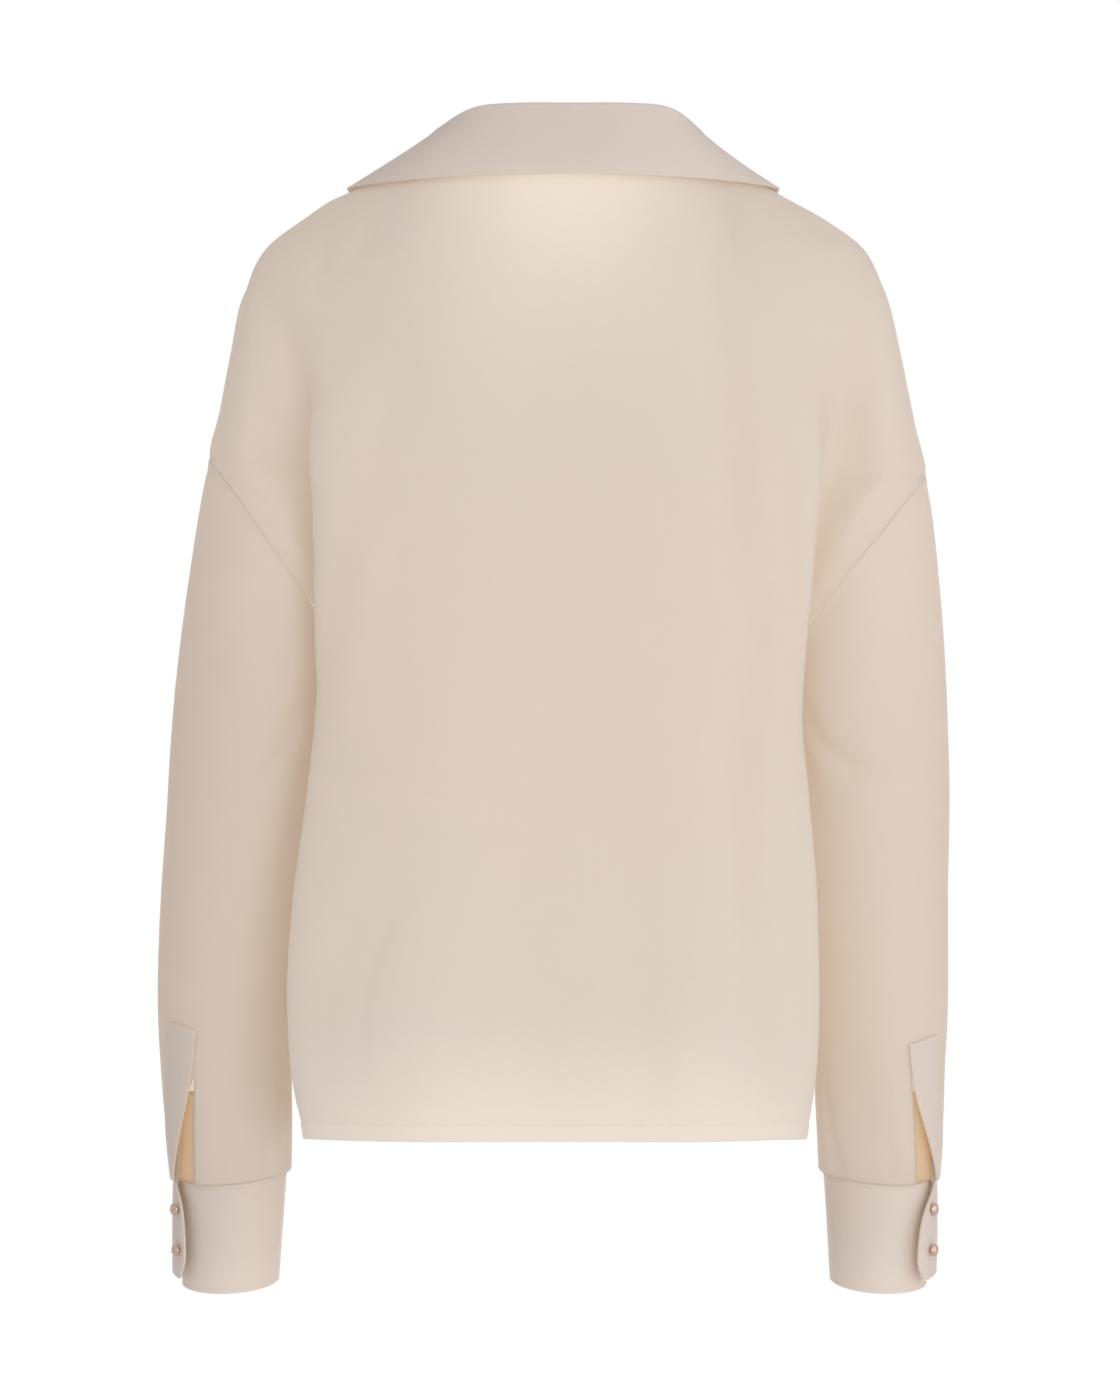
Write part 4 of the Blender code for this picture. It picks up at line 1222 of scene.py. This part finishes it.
def silk_material(name, glow=SEE_THROUGH, painted_light_tone=(1.0, 1.0, 1.0), through=THROUGH):
    """Woven ivory silk; glow is the share of light through it; the tone argument multiplies the
    ivories, for painted shade and painted warm glow.
    """
    material, tree, output = new_material(name)
    cloth_map = add_node(tree, "UVMap", {"uv_map": "cloth"}).outputs["UV"]
    parts = add_node(tree, "SeparateXYZ", Vector=cloth_map)
    weft, warp = (Number(tree, parts.outputs[axis]) * THREADS_PER_METRE for axis in "XY")
    weave = weft.sine() * warp.sine()
    spot = add_node(tree, "TexCoord").outputs["Object"]
    crinkle = noise(tree, spot, GRAIN_SCALE, Detail=2.0, Roughness=0.6)
    uneven = noise(tree, spot, SLUB_SCALE, Detail=3.0, Roughness=0.5)
    patch = noise(tree, spot, PATCH_SCALE, Detail=2.0, Roughness=0.5)
    # The ivories times the tone: unchanged on single silk, painted shade on the doubled copy, a
    # painted warm glow on the binding.
    cool, warm = ((*(np.array(ivory[:3]) * painted_light_tone), 1) for ivory in (IVORY, IVORY_WARM))
    tint = between(tree, patch * PATCH_SHARE + uneven * (1 - PATCH_SHARE), cool, warm)
    height = weave * WEAVE_SHARE + crinkle
    fine = add_node(tree, "Bump", Height=height, Strength=0.5, Distance=0.00006)
    soft = add_node(tree, "Bump", Height=uneven, Strength=0.35, Distance=0.0007)
    connect(tree, soft.inputs["Normal"], fine.outputs["Normal"])
    silk = add_node(
        tree, "BsdfPrincipled", Base_Color=tint, Roughness=0.56 + crinkle * 0.12,
        Normal=soft.outputs["Normal"], Specular_IOR_Level=0.35, Sheen_Weight=0.25,
        Sheen_Roughness=0.45, Sheen_Tint=(1.0, 0.96, 0.92, 1),
    )
    lit = add_node(tree, "BsdfTranslucent", Color=through, Normal=soft.outputs["Normal"])
    both = add_node(tree, "MixShader")
    connect(tree, both.inputs[0], glow)
    connect(tree, both.inputs[1], silk.outputs[0])
    connect(tree, both.inputs[2], lit.outputs[0])
    connect(tree, output.inputs["Surface"], both.outputs[0])
    return material


silk_single = silk_material("silk_single_layer")
# A darker, warmer copy of the silk with less light through it: the darker tone is painted shade,
# the lower glow is the doubled cloth.
silk_doubled_painted_shade = silk_material("silk_doubled_painted_shade", glow=0.3, painted_light_tone=(0.945, 0.88, 0.825))
# A warmer copy of the silk with an orange translucent colour: a painted warm glow in the shaded
# slit under the placket.
silk_binding_painted_glow = silk_material("silk_binding_painted_glow", painted_light_tone=(1.0, 0.93, 0.82), through=(1.0, 0.84, 0.62, 1))
print("silk:", silk_single.name, silk_doubled_painted_shade.name, "and", silk_binding_painted_glow.name)

# %% [markdown]
# ## Thread and rose gold
# Sewing thread is two yarns twisted together, which shows as slanting ribs. The buttons are
# polished metal with a rose tint, a little duller where fingers have rubbed them.

# %% Thread and metal materials
THREAD_COLOURS = (0.80, 0.69, 0.57, 1), (0.86, 0.76, 0.64, 1)
TWIST_SCALE = 9000
GOLD_COLOURS = (0.66, 0.44, 0.35, 1), (0.80, 0.60, 0.50, 1)


def thread_material(name):
    """Twisted silk thread."""
    material, tree, output = new_material(name)
    spot = add_node(tree, "TexCoord").outputs["Object"]
    parts = add_node(tree, "SeparateXYZ", Vector=spot)
    x, y, z = (Number(tree, parts.outputs[axis]) for axis in "XYZ")
    twist = ((x + y + z) * TWIST_SCALE).sine()
    raised = add_node(tree, "Bump", Height=twist, Strength=0.4, Distance=0.00005)
    tint = between(tree, noise(tree, spot, 400.0), *THREAD_COLOURS)
    yarn = add_node(
        tree, "BsdfPrincipled", Base_Color=tint, Roughness=0.5 + twist * 0.06,
        Normal=raised.outputs["Normal"], Sheen_Weight=0.3,
    )
    connect(tree, output.inputs["Surface"], yarn.outputs[0])
    return material


def rose_gold_material(name):
    """Rose gold, polished and then handled."""
    material, tree, output = new_material(name)
    spot = add_node(tree, "TexCoord").outputs["Object"]
    rubbed = noise(tree, spot, 700.0, Detail=4.0)
    brushed = noise(tree, spot, 3200.0)
    tint = between(tree, rubbed, *GOLD_COLOURS)
    grained = add_node(tree, "Bump", Height=brushed, Strength=0.15, Distance=0.00003)
    metal = add_node(
        tree, "BsdfPrincipled", Base_Color=tint, Metallic=1.0,
        Roughness=0.2 + rubbed * 0.16, Normal=grained.outputs["Normal"],
    )
    connect(tree, output.inputs["Surface"], metal.outputs[0])
    return material


thread = thread_material("silk_thread")
rose_gold = rose_gold_material("rose_gold")

# %% [markdown]
# ## Dressing the frame
# Each finished piece now takes the place of its plain solid. All of them ride on one body,
# because cloth has no joints, and each wears its material.

# %% Put on the pieces
def dress(piece, material, nodes=()):
    """The piece with its material, in the place of its nodes on the garment's one body."""
    piece.data.materials.append(material)
    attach(piece, "root")
    if nodes:
        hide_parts(*nodes)


# The collar, cuffs and plackets wear the silk copy with painted shade; the underlaps wear the silk
# copy with a painted warm glow.
dress(back, silk_single, ["back"])
dress(front, silk_single, ["front"])
dress(collar, silk_doubled_painted_shade, ["collar"])
for name in SIDES:
    dress(sleeves[name], silk_single, [f"sleeve_{name}"])
    dress(cuffs[name], silk_doubled_painted_shade, [f"cuff_{name}"])
    dress(plackets[name], silk_doubled_painted_shade, [f"placket_{name}"])
    dress(underlaps[name], silk_binding_painted_glow, [f"underlap_{name}"])
    dress(sleeve_stitches[name], thread)
for name, made in buttons.items():
    dress(made, rose_gold, [f"button_{name}"])
for sewn in (hem_stitches, collar_stitches):
    dress(sewn, thread)

# %% [markdown]
# ## The flat cut
# Cloth bends but hardly stretches, so its area on the body equals the area of its paper pattern.
# The next cell measures each piece along its own grid and states the cut that it was made from.

# %% State the cut
def surface_area(points):
    """The area of a grid of cloth, in square metres."""
    across = points[:-1, 1:] - points[:-1, :-1]
    down = points[1:, :-1] - points[:-1, :-1]
    return float(np.linalg.norm(np.cross(across, down), axis=-1).sum())


def open_area(points):
    """The area of a front panel, without the V between its halves."""
    middle = points.shape[1] // 2
    return surface_area(points[:, :middle]) + surface_area(points[:, middle:])


def flat_cut(points):
    """The widest row and the longest column of a grid, in metres."""
    return float(along(points, 1)[:, -1].max()), float(along(points, 0)[-1].max())


def declare(piece, points, area_of=surface_area):
    """Print the cut that a piece's own grid measures."""
    width, length = flat_cut(points)
    area = min(area_of(points), width * length)
    print(f"{piece.name}: {width:.3f} x {length:.3f} m, area {area:.4f} m2")


declare(back, back_grid)
declare(front, front_grid, area_of=open_area)
declare(collar, collar_grid)
for name in SIDES:
    declare(sleeves[name], sleeve_grids[name])
    declare(cuffs[name], cuff_grids[name])
    declare(plackets[name], placket_grids[name])
    declare(underlaps[name], underlap_grids[name])

# %% [markdown]
# ## Floor, light and camera
# A white studio shows soft cloth best: wide light from behind the camera, a paler fill all round
# and a little from the front side, so that the folds are seen but never harsh. The camera stands
# straight behind the blouse, far off, with a long lens, as for a catalogue.

# %% Studio
FLOOR_HEIGHT = -1.45
FLOOR_RADIUS = 2.4


def studio_floor():
    """A plain pale disc under the blouse."""
    disc = bmesh.new()
    bmesh.ops.create_circle(disc, cap_ends=True, segments=96, radius=FLOOR_RADIUS)
    bmesh.ops.translate(disc, verts=disc.verts, vec=(0, 0, FLOOR_HEIGHT))
    floor = finished("studio_floor", disc)
    material, tree, output = new_material("studio_white")
    paint = add_node(tree, "BsdfPrincipled", Base_Color=(0.86, 0.86, 0.86, 1), Roughness=0.8)
    connect(tree, output.inputs["Surface"], paint.outputs[0])
    floor.data.materials.append(material)
    return floor


def soft_light(name, at, towards, size, power, color):
    """A square soft light at a place, facing a point."""
    lamp = bpy.data.lights.new(name, "AREA")
    lamp.size = size
    lamp.energy = power
    lamp.color = color
    made = bpy.data.objects.new(name, lamp)
    bpy.context.scene.collection.objects.link(made)
    made.location = at
    made.rotation_euler = (Vector(towards) - Vector(at)).to_track_quat("-Z", "Y").to_euler()
    return made


studio_floor()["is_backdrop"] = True
CENTRE = (0, 0, -0.34)
LIGHTS = (
    ("key", (-1.6, 4.6, -0.3), 3.0, 72, (1.0, 0.99, 0.98)),
    ("side", (-3.6, 0.6, -0.2), 2.6, 16, (0.98, 0.985, 1.0)),
    ("front_fill", (0.0, -4.0, -1.1), 3.2, 125, (1.0, 0.98, 0.95)),
)
for name, at, size, power, color in LIGHTS:
    soft_light(name, at, CENTRE, size, power, color)

# %% Sky
SKY_FILL = 0.68
world = bpy.data.worlds.new("studio")
bpy.context.scene.world = world
world.use_nodes = True
sky = world.node_tree
sky.nodes.clear()
seen = add_node(sky, "Background", Color=(1, 1, 1, 1), Strength=1.0)
lit = add_node(sky, "Background", Color=(0.95, 0.96, 1.0, 1), Strength=SKY_FILL)
choice = add_node(sky, "MixShader")
connect(sky, choice.inputs[0], add_node(sky, "LightPath").outputs["Is Camera Ray"])
connect(sky, choice.inputs[1], lit.outputs[0])
connect(sky, choice.inputs[2], seen.outputs[0])
connect(sky, add_node(sky, "OutputWorld").inputs["Surface"], choice.outputs[0])
bpy.context.scene.view_settings.view_transform = "Standard"

# %% Camera
CAMERA_AWAY = 8.0
VIEW_HEIGHT = 0.889
VIEW_MIDDLE = (0.002, -0.343)
SENSOR = 36.0
lens = bpy.data.cameras.new("catalogue")
lens.sensor_width = SENSOR
lens.lens = SENSOR * CAMERA_AWAY / VIEW_HEIGHT
camera = bpy.data.objects.new("catalogue", lens)
bpy.context.scene.collection.objects.link(camera)
camera.location = (VIEW_MIDDLE[0], CAMERA_AWAY, VIEW_MIDDLE[1])
camera.rotation_euler = (math.pi / 2, 0, math.pi)
bpy.context.scene.camera = camera

# %% Print the size and finish
seen_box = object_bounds()
for name, (first, second) in {"cad": cad_box, "visual": seen_box}.items():
    print(name, [round(value / MM, 1) for value in (*first, *second)])
